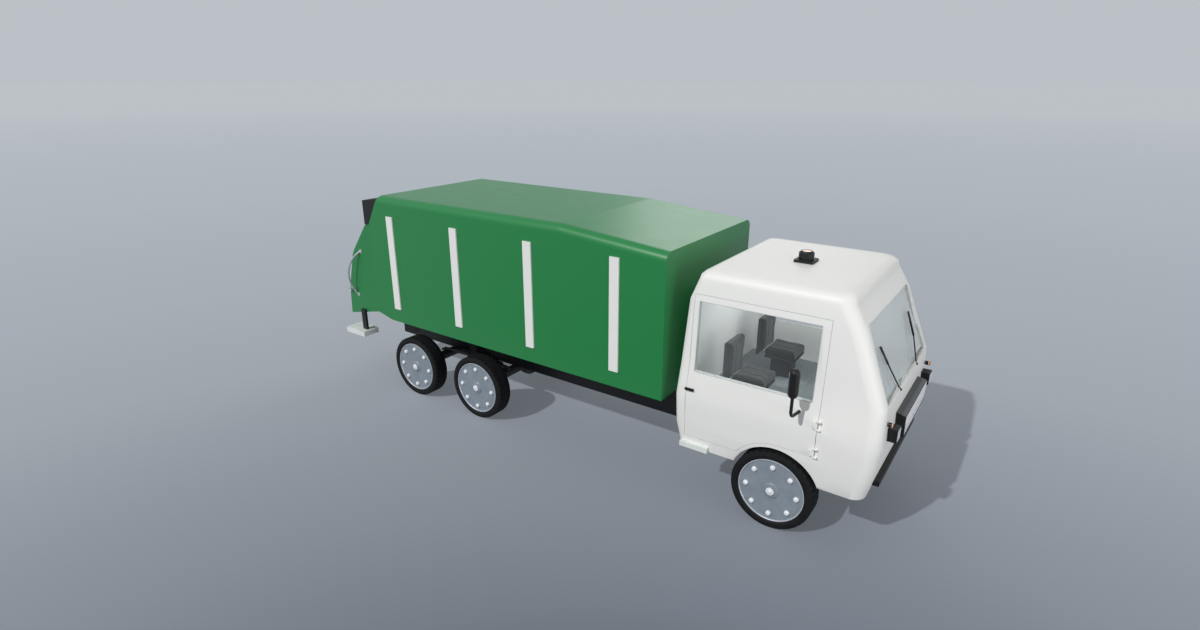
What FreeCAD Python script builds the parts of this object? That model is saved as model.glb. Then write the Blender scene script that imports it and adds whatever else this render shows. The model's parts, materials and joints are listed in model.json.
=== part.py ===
import FreeCAD, Part
import math
import os
from FreeCAD import Vector

# Rear-loading refuse truck on three axles: a tilting cab with two doors, a hollow refuse body with an
# ejector, and a tailgate hopper with a packing arm and blade. Millimetres. X forward, Y left, Z up,
# ground at z = 0. While the truck is being built, x = 0 is the front face of the refuse body; at the
# end every piece is moved so that the origin lies under the centre of the whole truck.

# ---- running gear
TYRE_R = 501.0
TYRE_W = 240.0
SHOULDER_R, SHOULDER_W = 12.0, 16.0     # how far a tyre's shoulder falls in radius and in width
RIM_R = 402.0            # outer radius of the rim's lip; the tyre starts here
RIM_WALL = 16.0
DISC_T = 14.0
DISC_SET_IN = 16.0       # the disc lies this far inside the tyre's outer face
WHEEL_OUT_Y = 1250.0     # outer faces of the tyres
HUB_R = 92.0
HUB_CAP_R = 58.0
HUB_CAP_H = 30.0
STUB_R = 55.0
STUB_LENGTH = 62.0
RUNNING_FIT = 0.08       # radial clearance of a shaft in its bore
AXLE_X = {"front": 1510.0, "mid": -3270.0, "rear": -4670.0}
AXLE_Z = TYRE_R
DRUM_R = 190.0
AXLE_TUBE_R = 75.0
LEAF_T = 20.0
LEAF_BOW = 57.0          # rise of a front spring's ends above its middle
TANDEM_LEAF_T = 28.0
TANDEM_BOW = 36.0        # fall of a tandem spring's ends below its middle
DIFF_R = 205.0
DIFF_NOSE = 360.0        # reach of the differential's nose ahead of the axle
KINGPIN_Y = 960.0
KINGPIN_R = 24.0
DRUM_Y0 = KINGPIN_Y + 70.0       # brake drum, from its inner to its outer face
DRUM_Y1 = DRUM_Y0 + 120.0
BEAM_TOP_Z = 520.0       # spring seat of the front beam
SIDE_GAP = 6.0           # gap round doors and between a yoke and its boss
SEAT_GAP = 0.3           # gap between pieces that rest on each other
TANDEM_LOW_Z = AXLE_Z + AXLE_TUBE_R + 4.0 + TANDEM_BOW   # underside of its longest leaf, mid way
TANDEM_TOP_Z = TANDEM_LOW_Z + 4 * TANDEM_LEAF_T

# ---- chassis
RAIL_Y = 500.0           # outer face of each side rail
RAIL_Z0 = 640.0
RAIL_H = 270.0
RAIL_FLANGE = 90.0
RAIL_T = 14.0
RAIL_X0 = -5820.0
RAIL_X1 = 2250.0
SUBFRAME_W = 90.0
SUBFRAME_X0 = -5400.0
CROSS_H = 150.0
CROSS_T = 70.0
CROSS_X = (RAIL_X1 - 120, 560.0, -900.0, -2300.0, -4005.0, -5500.0)
SILL_CROSS_H = 80.0
SILL_CROSS_X = (-70.0, -1300.0, -2600.0, -3900.0, -5300.0)
TOW_PLATE_T = 20.0       # end plate that takes a tow coupling
TOW_HOLE_DY, TOW_HOLE_DZ, TOW_HOLE_R = 160.0, 100.0, 10.5
TILT_X, TILT_Z = 2300.0, 750.0   # cab tilt axis
TILT_PIN_R = 30.0
ENGINE_X0, ENGINE_X1, ENGINE_HALF_W, ENGINE_Z0, ENGINE_Z1 = 1000.0, 2050.0, 330.0, 560.0, 1060.0

# ---- refuse body
BODY_W = 2450.0
BODY_Z0 = 1222.0
BODY_TOP_Z = 3285.0
BODY_FRONT_Z = BODY_TOP_Z - 144.0
BODY_BREAK_X = -1613.0   # the roof slopes up from the front face to here
BODY_REAR_X = -5530.0
SLANT_TOP_X = -5250.0    # the rear of the roof is cut off at a slant
SLANT_LOW_Z = BODY_TOP_Z - 485.0
BODY_EDGE_R = 120.0
BODY_WALL = 50.0
BODY_FLOOR_T = 120.0
BODY_HEEL_X, BODY_HEEL_Z = -5180.0, 1305.0   # the floor rises from here to this height at the rear
BODY_FRAME_T = 60.0      # rear frame, along X
RIB_X0, RIB_PITCH, RIB_COUNT = -723.0, 1421.0, 4
RIB_W, RIB_T = 144.0, 24.0
RIB_Z0, RIB_Z1 = 1451.0, BODY_TOP_Z - 299.0

# ---- tailgate, seen from the side
HOPPER_HALF_W = BODY_W / 2 - 125.0
HOPPER_WALL = 50.0
HOPPER_FRONT_X = BODY_REAR_X - 10.0
HOPPER_CREST_X = -5800.0         # the roof of the hopper ends here and slopes down to the rear
HOPPER_REAR_X = -6465.0
HOPPER_FOOT_Z, HOPPER_TROUGH_Z = 1060.0, 1262.0   # underside at the rear and at the body
HOPPER_TOP_Z = SLANT_LOW_Z - 55.0
MOUTH_X, MOUTH_Z0, MOUTH_Z1 = -6150.0, 1420.0, 2150.0
GATE_OPEN_HALF_W = HOPPER_HALF_W - HOPPER_WALL     # the load passes through here into the body
GATE_OPEN_Z1 = HOPPER_TOP_Z - 85.0
HOUSING_REAR_X = -5810.0
HOUSING_REAR_Z = BODY_TOP_Z - 138.0
HOUSING_CLEAR = 14.0             # between the housing and the slant that it lies against
GATE_PIVOT_UP = BODY_TOP_Z - 155.0    # height on the slant from which the hinge stands off
GATE_PIVOT_OUT = 65.0
GATE_PIN_R = 30.0
GATE_LUG_Y, GATE_LUG_T = 700.0, 30.0
GATE_LUG_R = 48.0
GATE_PIN_HALF = 140.0
PACKER_X, PACKER_Z = HOPPER_CREST_X, HOPPER_TOP_Z - 225.0
BLADE_PIN_Z = 1820.0
ARM_LENGTH, ARM_T = PACKER_Z - BLADE_PIN_Z, 80.0
ARM_HALF_W = HOPPER_HALF_W - HOPPER_WALL - 50.0
BLADE_LENGTH, BLADE_T = 480.0, 44.0
BLADE_HALF_W = ARM_HALF_W - 70.0
PACKER_SHAFT_R = 42.0
BLADE_PIN_R = 26.0
STEP_Z, STEP_T = 830.0, 90.0
STEP_X0, STEP_X1 = HOPPER_REAR_X, HOPPER_REAR_X + 490.0
STEP_Y0, STEP_Y1 = 950.0, 1250.0
STEP_POST_X0, STEP_POST_X1, STEP_POST_TOP_Z = -6140.0, -6035.0, 1200.0
# grab rail: x, distance out from the hopper's side, z
GRAB_FOOT, GRAB_APEX, GRAB_HEAD = (-6208.0, -20.0, 1430.0), (-6250.0, 125.0, 1850.0), (-6010.0, -20.0, 2265.0)
RAIL_TUBE_R = 16.0
KNOB_X, KNOB_Z, KNOB_R, KNOB_OUT = -6380.0, 1520.0, 34.0, 45.0

# ---- cab
CAB_WALL = 60.0
CAB_FLOOR_Z = 1200.0
CAB_FLOOR_T = 80.0
CAB_BACK_X, CAB_BACK_HALF = 900.0, 1040.0    # the back is open below the floor, for rails and shaft
CAB_ROOF_Z = 2966.0
CAB_ROOF_R = 118.0
ARCH_R = 545.0
FRONT_X = 2722.0         # face of the grille, the foremost point
GRILLE_HALF_W = 582.0
GRILLE_Z0, GRILLE_Z1, GRILLE_SLOTS = 1301.0, 1556.0, 7
GRILLE_TOP_RISE, GRILLE_TOP_X = 26.0, 2610.0     # the grille's top slopes up to the cab
GRILLE_FRAME = 22.0      # border round the slots
GRILLE_SLOT_DEPTH = 18.0
LAMP_X, LAMP_Y0, LAMP_Y1, LAMP_Z0, LAMP_Z1 = 2714.0, 805.0, 955.0, 1400.0, 1552.0
INDICATOR_Y, INDICATOR_Z, INDICATOR_R = 995.0, 1618.0, 26.0
INDICATOR_X0, INDICATOR_X1, STALK_R = 2615.0, 2672.0, 9.0
FITTING_X0 = 2450.0      # fittings start in here, before the cab's own form is cut out of them
BUMPER_X, BUMPER_HALF_W, BUMPER_Z0, BUMPER_Z1 = 2610.0, 920.0, 800.0, 865.0
CAB_STEP_X0, CAB_STEP_X1, CAB_STEP_Y, CAB_STEP_H = 290.0, 665.0, 1240.0, 65.0
BEACON_X, BEACON_R = 1250.0, 92.0
BEACON_PLATE, BEACON_PLATE_T = 230.0, 34.0
BEACON_LENS_Z, BEACON_TOP_Z = CAB_ROOF_Z + 114.0, CAB_ROOF_Z + 134.0
MIRROR_X, MIRROR_Y, MIRROR_R = 1705.0, 1420.0, 56.0
MIRROR_Z0, MIRROR_Z1 = 1891.0, 2129.0    # centres of the mirror head's round ends
MIRROR_FOOT = (1735.0, 1150.0, 1590.0)
MIRROR_ARM_Z, MIRROR_BEND_R, MIRROR_TUBE_R = 1605.0, 75.0, 18.0
HANDLE_X0, HANDLE_X1, HANDLE_Z0, HANDLE_Z1, HANDLE_Y = 325.0, 441.0, 1484.0, 1506.0, 1238.0
SEAT_Y0, SEAT_Y1 = 300.0, 780.0
CUSHION_X0, CUSHION_X1, CUSHION_Z0, CUSHION_Z1 = 700.0, 1160.0, 1490.0, 1600.0
BACKREST_X0, BACKREST_X1, BACKREST_Z1 = 590.0, 712.0, 2030.0
PEDESTAL_X0, PEDESTAL_X1, PEDESTAL_SET_IN = 780.0, 1060.0, 80.0
WHEEL_RING_R, WHEEL_RING_T = 225.0, 16.0
WHEEL_RING_X, WHEEL_RING_Z = 1850.0, 1830.0
WHEEL_TILT = (-0.70, 0.0, 0.71)          # direction of the steering column, upwards
COLUMN_R, COLUMN_LENGTH, SPOKE_R = 28.0, 620.0, 12.0
DASH_HALF_W = 1000.0
# section of the dashboard: x, z, corner radius
DASH_PROFILE = ((2140.0, 1480.0, 60.0), (2420.0, 1420.0, 0.0), (2700.0, 1420.0, 0.0), (2700.0, 1740.0, 0.0),
                (2220.0, 1740.0, 80.0))
# height, rear x, front x, half width, rear corner radius, front corner radius
CAB_SECTIONS = (
    (700.0, 249.0, 2511.0, 1182.0, 90.0, 150.0),
    (1000.0, 187.0, 2580.0, 1213.0, 95.0, 160.0),
    (1380.0, 171.0, 2618.0, 1225.0, 100.0, 165.0),
    (1800.0, 200.0, 2598.0, 1172.0, 90.0, 165.0),
    (CAB_ROOF_Z - 366.0, 255.0, 2282.0, 1124.0, 85.0, 160.0),
    (CAB_ROOF_Z - CAB_ROOF_R, 345.0, 2136.0, 1092.0, 85.0, 160.0),
)
WINDOW_X0, WINDOW_X1 = 408.0, 1858.0
WINDOW_Z0, WINDOW_Z1 = 1720.0, CAB_ROOF_Z - 358.0
SCREEN_Z0, SCREEN_Z1 = 1822.0, CAB_ROOF_Z - 328.0
SCREEN_HALF_LOW, SCREEN_HALF_TOP = 1000.0, 915.0
GLASS_T = 6.0
GLASS_SET_IN = 12.0
SCREEN_SET_IN = 48.0     # the windscreen lies deep in its frame
WIPER_Z, WIPER_ARM_R, WIPER_BLADE_R, SPINDLE_R = 1808.0, 6.0, 11.0, 14.0
# each wiper: y of its spindle, then y and height of its arm's end and of its blade's tip
WIPERS = ((-457.0, (-650.0, 2190.0), (-690.0, 2340.0)), (407.0, (650.0, 2120.0), (690.0, 2350.0)))
WIPER_DEPTH = 3.0, 9.0, 19.0     # how far spindle, arm's end and tip lie behind the cab's front face
DOOR_X0, DOOR_X1 = 312.0, 1945.0
DOOR_Z0, DOOR_Z1 = 850.0, CAB_ROOF_Z - 286.0
DOOR_SILL_Z = 1120.0     # bottom of the door over the wheel arch
DOOR_ARCH_R = ARCH_R + 50.0
DOOR_HINGE_X = DOOR_X1 - 5.0
DOOR_HINGE_Y = 1238.0
HINGE_Z = (1120.0, 1460.0)       # bottoms of each door's hinge barrels
HINGE_H = 70.0
HINGE_PIN_R, HINGE_BARREL_R = 6.0, 12.0
HINGE_EAR_H = 14.0
HINGE_LEAF = 45.0        # reach of a hinge's leaf along the side
HINGE_ROOT = 60.0        # and how far in from the axis it is rooted in the wall
LINER_R, LINER_T = 590.0, 10.0   # the arch is wider inside, where the steered tyre swings
LINER_Y0, LINER_Y1 = 880.0, 1170.0


# ---------------------------------------------------------------- helpers
def box(x0, x1, y0, y1, z0, z1):
    return Part.makeBox(x1 - x0, y1 - y0, z1 - z0, Vector(x0, y0, z0))


def bar_y(x, z, r, y0, y1):
    """Round bar along Y."""
    return Part.makeCylinder(r, y1 - y0, Vector(x, y0, z), Vector(0, 1, 0))


def bar_z(x, y, r, z0, z1):
    return Part.makeCylinder(r, z1 - z0, Vector(x, y, z0), Vector(0, 0, 1))


def bar_x(y, z, r, x0, x1):
    return Part.makeCylinder(r, x1 - x0, Vector(x0, y, z), Vector(1, 0, 0))


def rod(a, b, r):
    """Round bar from point a to point b."""
    run = Vector(*b) - Vector(*a)
    return Part.makeCylinder(r, run.Length, Vector(*a), run)


def fuse(*shapes):
    return shapes[0].multiFuse(list(shapes[1:])).removeSplitter()


def mirrored(shape):
    return shape.mirror(Vector(0, 0, 0), Vector(0, 1, 0))


def both(shape):
    """The shape on the left side and its mirror image on the right."""
    return [shape, mirrored(shape)]


PLANES = {
    "xz": lambda u, v, w: Vector(u, w, v),
    "yz": lambda u, v, w: Vector(w, u, v),
    "xy": lambda u, v, w: Vector(u, v, w),
}
NORMALS = {"xz": Vector(0, 1, 0), "yz": Vector(1, 0, 0), "xy": Vector(0, 0, 1)}


def rounded_wire(corners, plane, level):
    """Closed outline through (u, v, corner radius) rows, lying in a plane at the given level."""
    place = PLANES[plane]
    count = len(corners)
    ends = []
    for i, (u, v, r) in enumerate(corners):
        here = Vector(u, v, 0)
        before = Vector(corners[i - 1][0], corners[i - 1][1], 0) - here
        after = Vector(corners[(i + 1) % count][0], corners[(i + 1) % count][1], 0) - here
        before.normalize()
        after.normalize()
        if r <= 0:
            ends.append((here, None, here))
            continue
        half = before.getAngle(after) / 2
        reach = r / math.tan(half)
        middle = before + after
        middle.normalize()
        centre = here + middle * (r / math.sin(half))
        ends.append((here + before * reach, centre - middle * r, here + after * reach))
    edges = []
    for i in range(count):
        start, mid, stop = ends[i]
        if mid is not None:
            edges.append(Part.Arc(place(start.x, start.y, level), place(mid.x, mid.y, level),
                                  place(stop.x, stop.y, level)).toShape())
        nxt = ends[(i + 1) % count][0]
        if (nxt - stop).Length > 1e-6:
            edges.append(Part.LineSegment(place(stop.x, stop.y, level),
                                          place(nxt.x, nxt.y, level)).toShape())
    return Part.Wire(edges)


def prism(corners, plane, level0, level1):
    face = Part.Face(rounded_wire(corners, plane, level0))
    return face.extrude(NORMALS[plane] * (level1 - level0))


def lofted(wires):
    """Solid through stacked outlines with matching edges: flat faces between straight edges and ruled
    surfaces between arcs."""
    faces = [Part.Face(wires[0]), Part.Face(wires[-1])]
    for low, high in zip(wires, wires[1:]):
        for a, b in zip(low.Edges, high.Edges):
            if isinstance(a.Curve, Part.Line):
                a0, a1 = a.valueAt(a.FirstParameter), a.valueAt(a.LastParameter)
                b0, b1 = b.valueAt(b.FirstParameter), b.valueAt(b.LastParameter)
                faces.append(Part.Face(Part.makePolygon([a0, a1, b1, b0, a0])))
            else:
                faces.append(Part.makeRuledSurface(a, b))
    shell = Part.makeShell(faces)
    shell.sewShape()
    solid = Part.Solid(shell)
    if solid.Volume < 0:
        solid.reverse()
    return solid


def revolved(corners, centre):
    """Solid turned about the Y axis through centre; corners are (radius, along Y, corner radius)."""
    face = Part.Face(rounded_wire(corners, "xy", 0))
    solid = face.revolve(Vector(0, 0, 0), Vector(0, 1, 0), 360)
    solid.translate(Vector(*centre))
    return solid


def pipe(points, r):
    """Round tube along straight runs joined by arcs; points are (x, y, z, bend radius)."""
    edges = []
    at = Vector(*points[0][:3])
    for i in range(1, len(points) - 1):
        here = Vector(*points[i][:3])
        back = Vector(*points[i - 1][:3]) - here
        ahead = Vector(*points[i + 1][:3]) - here
        back.normalize()
        ahead.normalize()
        half = back.getAngle(ahead) / 2
        reach = points[i][3] / math.tan(half)
        middle = back + ahead
        middle.normalize()
        centre = here + middle * (points[i][3] / math.sin(half))
        start, stop = here + back * reach, here + ahead * reach
        edges.append(Part.LineSegment(at, start).toShape())
        edges.append(Part.Arc(start, centre - middle * points[i][3], stop).toShape())
        at = stop
    edges.append(Part.LineSegment(at, Vector(*points[-1][:3])).toShape())
    path = Part.Wire(edges)
    first = Vector(*points[1][:3]) - Vector(*points[0][:3])
    circle = Part.Wire(Part.Circle(Vector(*points[0][:3]), first, r).toShape())
    return path.makePipeShell([circle], True, True)


NODES = {}


def node(name, *shapes):
    """Keep the solids of one named piece."""
    flat = []
    for shape in shapes:
        flat.extend(shape if isinstance(shape, list) else [shape])
    NODES[name] = flat


# ---------------------------------------------------------------- wheels, axles, knuckles
def make_wheel(side, x):
    """Tyre and rim of one wheel; side is +1 on the left and -1 on the right."""
    half = TYRE_W / 2
    centre = (x, side * (WHEEL_OUT_Y - half), AXLE_Z)
    edge_r, edge_y = TYRE_R - SHOULDER_R, half - SHOULDER_W
    tyre = revolved([(RIM_R, -half + 18, 0), (RIM_R + 20, -half, 8), (edge_r, -half, 10),
                     (TYRE_R, -edge_y, 10), (TYRE_R, edge_y, 10), (edge_r, half, 10),
                     (RIM_R + 20, half, 8), (RIM_R, half - 18, 0)], centre)
    face = half - DISC_SET_IN
    bore_end = DRUM_Y1 + STUB_LENGTH + 4 - (WHEEL_OUT_Y - half)
    hub_in = DRUM_Y1 + SIDE_GAP - (WHEEL_OUT_Y - half)
    bore_r = STUB_R + RUNNING_FIT
    rim = revolved([(RIM_R - RIM_WALL, -half + 18, 0), (RIM_R - SEAT_GAP, -half + 18, 0),
                    (RIM_R - SEAT_GAP, face + 8, 3), (RIM_R - 10, face + 8, 3), (RIM_R - 14, face, 0),
                    (HUB_R + 8, face, 0), (HUB_R, face + 8, 0), (HUB_CAP_R + 6, face + 8, 0),
                    (HUB_CAP_R, face + HUB_CAP_H, 12), (0, face + HUB_CAP_H, 0), (0, bore_end, 0),
                    (bore_r, bore_end, 0), (bore_r, hub_in, 0), (HUB_R, hub_in, 0),
                    (HUB_R, face - DISC_T, 0), (RIM_R - RIM_WALL, face - DISC_T, 0)], centre)
    if side < 0:
        turn = Vector(0, 0, 1)
        tyre.rotate(Vector(*centre), turn, 180)
        rim.rotate(Vector(*centre), turn, 180)
    return tyre, rim


def hub_end(side_x):
    """Brake drum and stub axle on the left end of an axle."""
    drum = revolved([(0, DRUM_Y0, 0), (DRUM_R * 0.86, DRUM_Y0, 10), (DRUM_R, DRUM_Y0 + 22, 6),
                     (DRUM_R, DRUM_Y1 - 8, 6), (DRUM_R * 0.9, DRUM_Y1, 6), (STUB_R, DRUM_Y1, 0),
                     (STUB_R, DRUM_Y1 + STUB_LENGTH, 0), (0, DRUM_Y1 + STUB_LENGTH, 0)],
                    (side_x, 0, AXLE_Z))
    return drum


def make_drive_axle(x):
    tube = bar_y(x, AXLE_Z, AXLE_TUBE_R, -DRUM_Y0, DRUM_Y0)
    bulb = revolved([(0, -170, 0), (DIFF_R * 0.6, -170, 60), (DIFF_R, -60, 60), (DIFF_R, 60, 60),
                     (DIFF_R * 0.6, 170, 60), (0, 170, 0)], (x, 0, AXLE_Z))
    nose = bar_x(0, AXLE_Z, 95, x, x + DIFF_NOSE - 30)
    flange = bar_x(0, AXLE_Z, 75, x + DIFF_NOSE - 30, x + DIFF_NOSE)
    left = hub_end(x)
    return fuse(tube, bulb, nose, flange, left, mirrored(left))


def make_front_axle():
    """Dropped forged beam with a boss for each kingpin."""
    x = AXLE_X["front"]
    low, top = BEAM_TOP_Z - 110, BEAM_TOP_Z
    beam = prism([(-KINGPIN_Y, AXLE_Z - 45, 0), (-KINGPIN_Y + 190, AXLE_Z - 70, 120), (-560, low, 120),
                  (560, low, 120), (KINGPIN_Y - 190, AXLE_Z - 70, 120), (KINGPIN_Y, AXLE_Z - 45, 0),
                  (KINGPIN_Y, AXLE_Z + 45, 0), (KINGPIN_Y - 150, AXLE_Z + 35, 120), (600, top, 120),
                  (-600, top, 120), (-KINGPIN_Y + 150, AXLE_Z + 35, 120), (-KINGPIN_Y, AXLE_Z + 45, 0)],
                 "yz", x - 50, x + 50)
    boss = bar_z(x, KINGPIN_Y, 62, AXLE_Z - 60, AXLE_Z + 60)
    bore = bar_z(x, KINGPIN_Y, KINGPIN_R + RUNNING_FIT, AXLE_Z - 90, AXLE_Z + 90)
    beam = fuse(beam, boss, mirrored(boss))
    return beam.cut(bore).cut(mirrored(bore))


def make_knuckle():
    """Left steering knuckle: yoke round the beam's boss, kingpin, brake drum and stub axle."""
    x = AXLE_X["front"]
    inside = 60 + SIDE_GAP
    pin = bar_z(x, KINGPIN_Y, KINGPIN_R, AXLE_Z - inside - 34, AXLE_Z + inside + 34)
    arms = [fuse(box(x - 52, x + 52, KINGPIN_Y, DRUM_Y0 + 10, z, z + 34),
                 bar_z(x, KINGPIN_Y, 52, z, z + 34))
            for z in (AXLE_Z - inside - 34, AXLE_Z + inside)]
    lever = box(x - 230, x - 30, KINGPIN_Y - 20, KINGPIN_Y + 20, AXLE_Z - inside - 34, AXLE_Z - inside)
    return fuse(pin, arms[0], arms[1], lever, hub_end(x))


def leaf(x, reach, low, radius, thick, y0, y1):
    """One bowed leaf: its underside passes low at x; a negative radius bows it the other way."""
    def height(offset, level):
        r = abs(radius)
        return level + math.copysign(r - math.sqrt(r * r - offset * offset), radius)
    arcs = []
    for level in (low, low + thick):
        ends = [PLANES["xz"](x + u, height(u, level), y0) for u in (-reach, 0.0, reach)]
        arcs.append(ends)
    under, over = arcs
    wire = Part.Wire([Part.Arc(*under).toShape(), Part.LineSegment(under[2], over[2]).toShape(),
                      Part.Arc(*reversed(over)).toShape(), Part.LineSegment(over[0], under[0]).toShape()])
    return Part.Face(wire).extrude(Vector(0, y1 - y0, 0))


def make_springs():
    """Leaf packs: one over each end of the front beam, one over each side of the tandem."""
    y0, y1 = RAIL_Y - RAIL_FLANGE / 2 - 38, RAIL_Y - RAIL_FLANGE / 2 + 38
    x = AXLE_X["front"]
    reaches = (300.0, 520.0, 760.0)
    radius = (reaches[-1] ** 2 + LEAF_BOW ** 2) / (2 * LEAF_BOW)
    low = RAIL_Z0 - SEAT_GAP - LEAF_BOW - len(reaches) * LEAF_T
    front = [leaf(x, reach, low + k * LEAF_T, radius, LEAF_T, y0, y1) for k, reach in enumerate(reaches)]
    front.append(box(x - 110, x + 110, y0, y1, BEAM_TOP_Z + SEAT_GAP, low + LEAF_T))
    for end in (-1, 1):
        front.append(box(x + end * reaches[-1] - 30, x + end * reaches[-1] + 30, y0, y1,
                         RAIL_Z0 - SEAT_GAP - LEAF_T, RAIL_Z0 - SEAT_GAP))
    y0, y1 = RAIL_Y + 15, RAIL_Y + 105
    x = (AXLE_X["mid"] + AXLE_X["rear"]) / 2
    half = (AXLE_X["mid"] - AXLE_X["rear"]) / 2
    radius = -(half ** 2 + TANDEM_BOW ** 2) / (2 * TANDEM_BOW)
    tandem = [leaf(x, half + 70 - 170 * k, TANDEM_LOW_Z + k * TANDEM_LEAF_T, radius, TANDEM_LEAF_T, y0, y1)
              for k in range(4)]
    tandem += [box(x + end * half - 45, x + end * half + 45, y0, y1, AXLE_Z + AXLE_TUBE_R + SEAT_GAP,
                   AXLE_Z + AXLE_TUBE_R + TANDEM_LEAF_T) for end in (-1, 1)]
    return both(fuse(*front)) + both(fuse(*tandem))


# ---------------------------------------------------------------- chassis
def make_rail():
    """Left side rail with the body's sill on it, the cab's rear rest, its tilt pin and the trunnion."""
    inner = RAIL_Y - RAIL_FLANGE
    top = RAIL_Z0 + RAIL_H
    rail = prism([(RAIL_Y, RAIL_Z0, 12), (RAIL_Y, top, 12), (inner, top, 0), (inner, top - RAIL_T, 0),
                  (RAIL_Y - RAIL_T, top - RAIL_T, 0), (RAIL_Y - RAIL_T, RAIL_Z0 + RAIL_T, 0),
                  (inner, RAIL_Z0 + RAIL_T, 0), (inner, RAIL_Z0, 0)], "yz", RAIL_X0, RAIL_X1)
    sill = box(SUBFRAME_X0, 0, RAIL_Y - SUBFRAME_W, RAIL_Y, top, BODY_Z0 - SEAT_GAP)
    rest = box(330, 430, RAIL_Y - 80, RAIL_Y, top, CAB_FLOOR_Z - CAB_FLOOR_T - SEAT_GAP)
    pin = bar_y(TILT_X, TILT_Z, TILT_PIN_R, RAIL_Y - 60, RAIL_Y + 70)
    ear = prism([(RAIL_X1 - 120, RAIL_Z0 + 20, 0), (TILT_X + 60, TILT_Z - 60, 55),
                 (TILT_X + 60, TILT_Z + 60, 55),
                 (RAIL_X1 - 120, top - 40, 0)], "xz", RAIL_Y - RAIL_T, RAIL_Y + 6)
    middle = (AXLE_X["mid"] + AXLE_X["rear"]) / 2
    trunnion = box(middle - 90, middle + 90, RAIL_Y - 5, RAIL_Y + 105, TANDEM_TOP_Z + SEAT_GAP, top - 40)
    return fuse(rail, sill, rest, pin, ear, trunnion)


def make_cross_members():
    """Cross members between the rails and the sills, and the end plate that takes a coupling."""
    half = RAIL_Y - RAIL_T - SEAT_GAP
    sill_half = RAIL_Y - SUBFRAME_W - SEAT_GAP
    cross_z = RAIL_Z0 + RAIL_H / 2
    members = [box(x, x + CROSS_T, -half, half, cross_z - CROSS_H / 2, cross_z + CROSS_H / 2) for x in CROSS_X]
    members += [box(x, x + CROSS_T, -sill_half, sill_half, BODY_Z0 - 60 - SILL_CROSS_H, BODY_Z0 - 60)
                for x in SILL_CROSS_X]
    plate = box(RAIL_X0, RAIL_X0 + TOW_PLATE_T, -half, half, RAIL_Z0 + RAIL_T + SEAT_GAP,
                RAIL_Z0 + RAIL_H - RAIL_T - SEAT_GAP)
    for y in (-TOW_HOLE_DY / 2, TOW_HOLE_DY / 2):
        for z in (cross_z - TOW_HOLE_DZ / 2, cross_z + TOW_HOLE_DZ / 2):
            plate = plate.cut(bar_x(y, z, TOW_HOLE_R, RAIL_X0 - 5, RAIL_X0 + TOW_PLATE_T + 5))
    return members + [plate]


def make_driveline():
    """Propeller shafts: engine to mid axle, mid axle to rear axle."""
    shafts = []
    nose = DIFF_NOSE + SEAT_GAP
    shafts.append(rod((ENGINE_X0 - 1.8, 0, 630.0), (AXLE_X["mid"] + nose + 1.5, 0, AXLE_Z), 45))
    shafts.append(rod((AXLE_X["mid"] - DIFF_R - SEAT_GAP, 0, AXLE_Z), (AXLE_X["rear"] + nose, 0, AXLE_Z), 45))
    return shafts


# ---------------------------------------------------------------- refuse body
def body_block(inset, floor_lift):
    """The body's outer form, drawn in by inset on every side, its floor raised by floor_lift."""
    half = BODY_W / 2 - inset
    z0 = BODY_Z0 + floor_lift
    r = BODY_EDGE_R - inset * 0.6
    wires = []
    for x, top in ((-inset, BODY_FRONT_Z), (BODY_BREAK_X, BODY_TOP_Z), (BODY_REAR_X - inset, BODY_TOP_Z)):
        top -= inset
        wires.append(rounded_wire([(-half, z0, 0), (half, z0, 0), (half, top, r), (-half, top, r)], "yz", x))
    return lofted(wires)


def slant_prism(forward):
    """What lies behind the slanted rear of the roof, moved forward by a wall's thickness."""
    rise = BODY_TOP_Z - SLANT_LOW_Z
    run = SLANT_TOP_X - BODY_REAR_X
    slope = rise / run
    shift = forward * math.hypot(rise, run) / rise
    high, low = BODY_TOP_Z + 200, SLANT_LOW_Z - forward
    x_high = SLANT_TOP_X + 200 / slope + shift
    x_low = BODY_REAR_X - forward / slope + shift
    return prism([(x_high, high, 0), (BODY_REAR_X - 400, high, 0), (BODY_REAR_X - 400, low, 0),
                  (x_low, low, 0)],
                 "xz", -BODY_W, BODY_W)


def make_body():
    """Hollow body: floor, sides, roof and front wall, with a rear frame round the gate's opening."""
    cavity = body_block(BODY_WALL, BODY_FLOOR_T).cut(slant_prism(BODY_WALL))
    cavity = cavity.cut(box(BODY_REAR_X - 200, BODY_REAR_X + BODY_FRAME_T, -BODY_W, BODY_W, 0, 4000))
    way = box(BODY_REAR_X - 50, BODY_REAR_X + BODY_FRAME_T + 1, -GATE_OPEN_HALF_W, GATE_OPEN_HALF_W,
              BODY_Z0 + BODY_FLOOR_T, GATE_OPEN_Z1)
    heel = prism([(BODY_REAR_X - 50, BODY_Z0 - 50, 0), (BODY_HEEL_X, BODY_Z0 - 50, 0),
                  (BODY_HEEL_X, BODY_Z0, 0),
                  (BODY_REAR_X, BODY_HEEL_Z, 0), (BODY_REAR_X - 50, BODY_HEEL_Z, 0)], "xz", -BODY_W, BODY_W)
    return body_block(0, 0).cut(slant_prism(0)).cut(cavity).cut(way).cut(heel)


def make_ribs():
    ribs = []
    for i in range(RIB_COUNT):
        x = RIB_X0 - i * RIB_PITCH
        rib = prism([(x - RIB_W / 2, BODY_W / 2 + SEAT_GAP, 0), (x + RIB_W / 2, BODY_W / 2 + SEAT_GAP, 0),
                     (x + RIB_W / 2, BODY_W / 2 + RIB_T, 10), (x - RIB_W / 2, BODY_W / 2 + RIB_T, 10)],
                    "xy", RIB_Z0, RIB_Z1)
        ribs.extend(both(rib))
    return ribs


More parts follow.
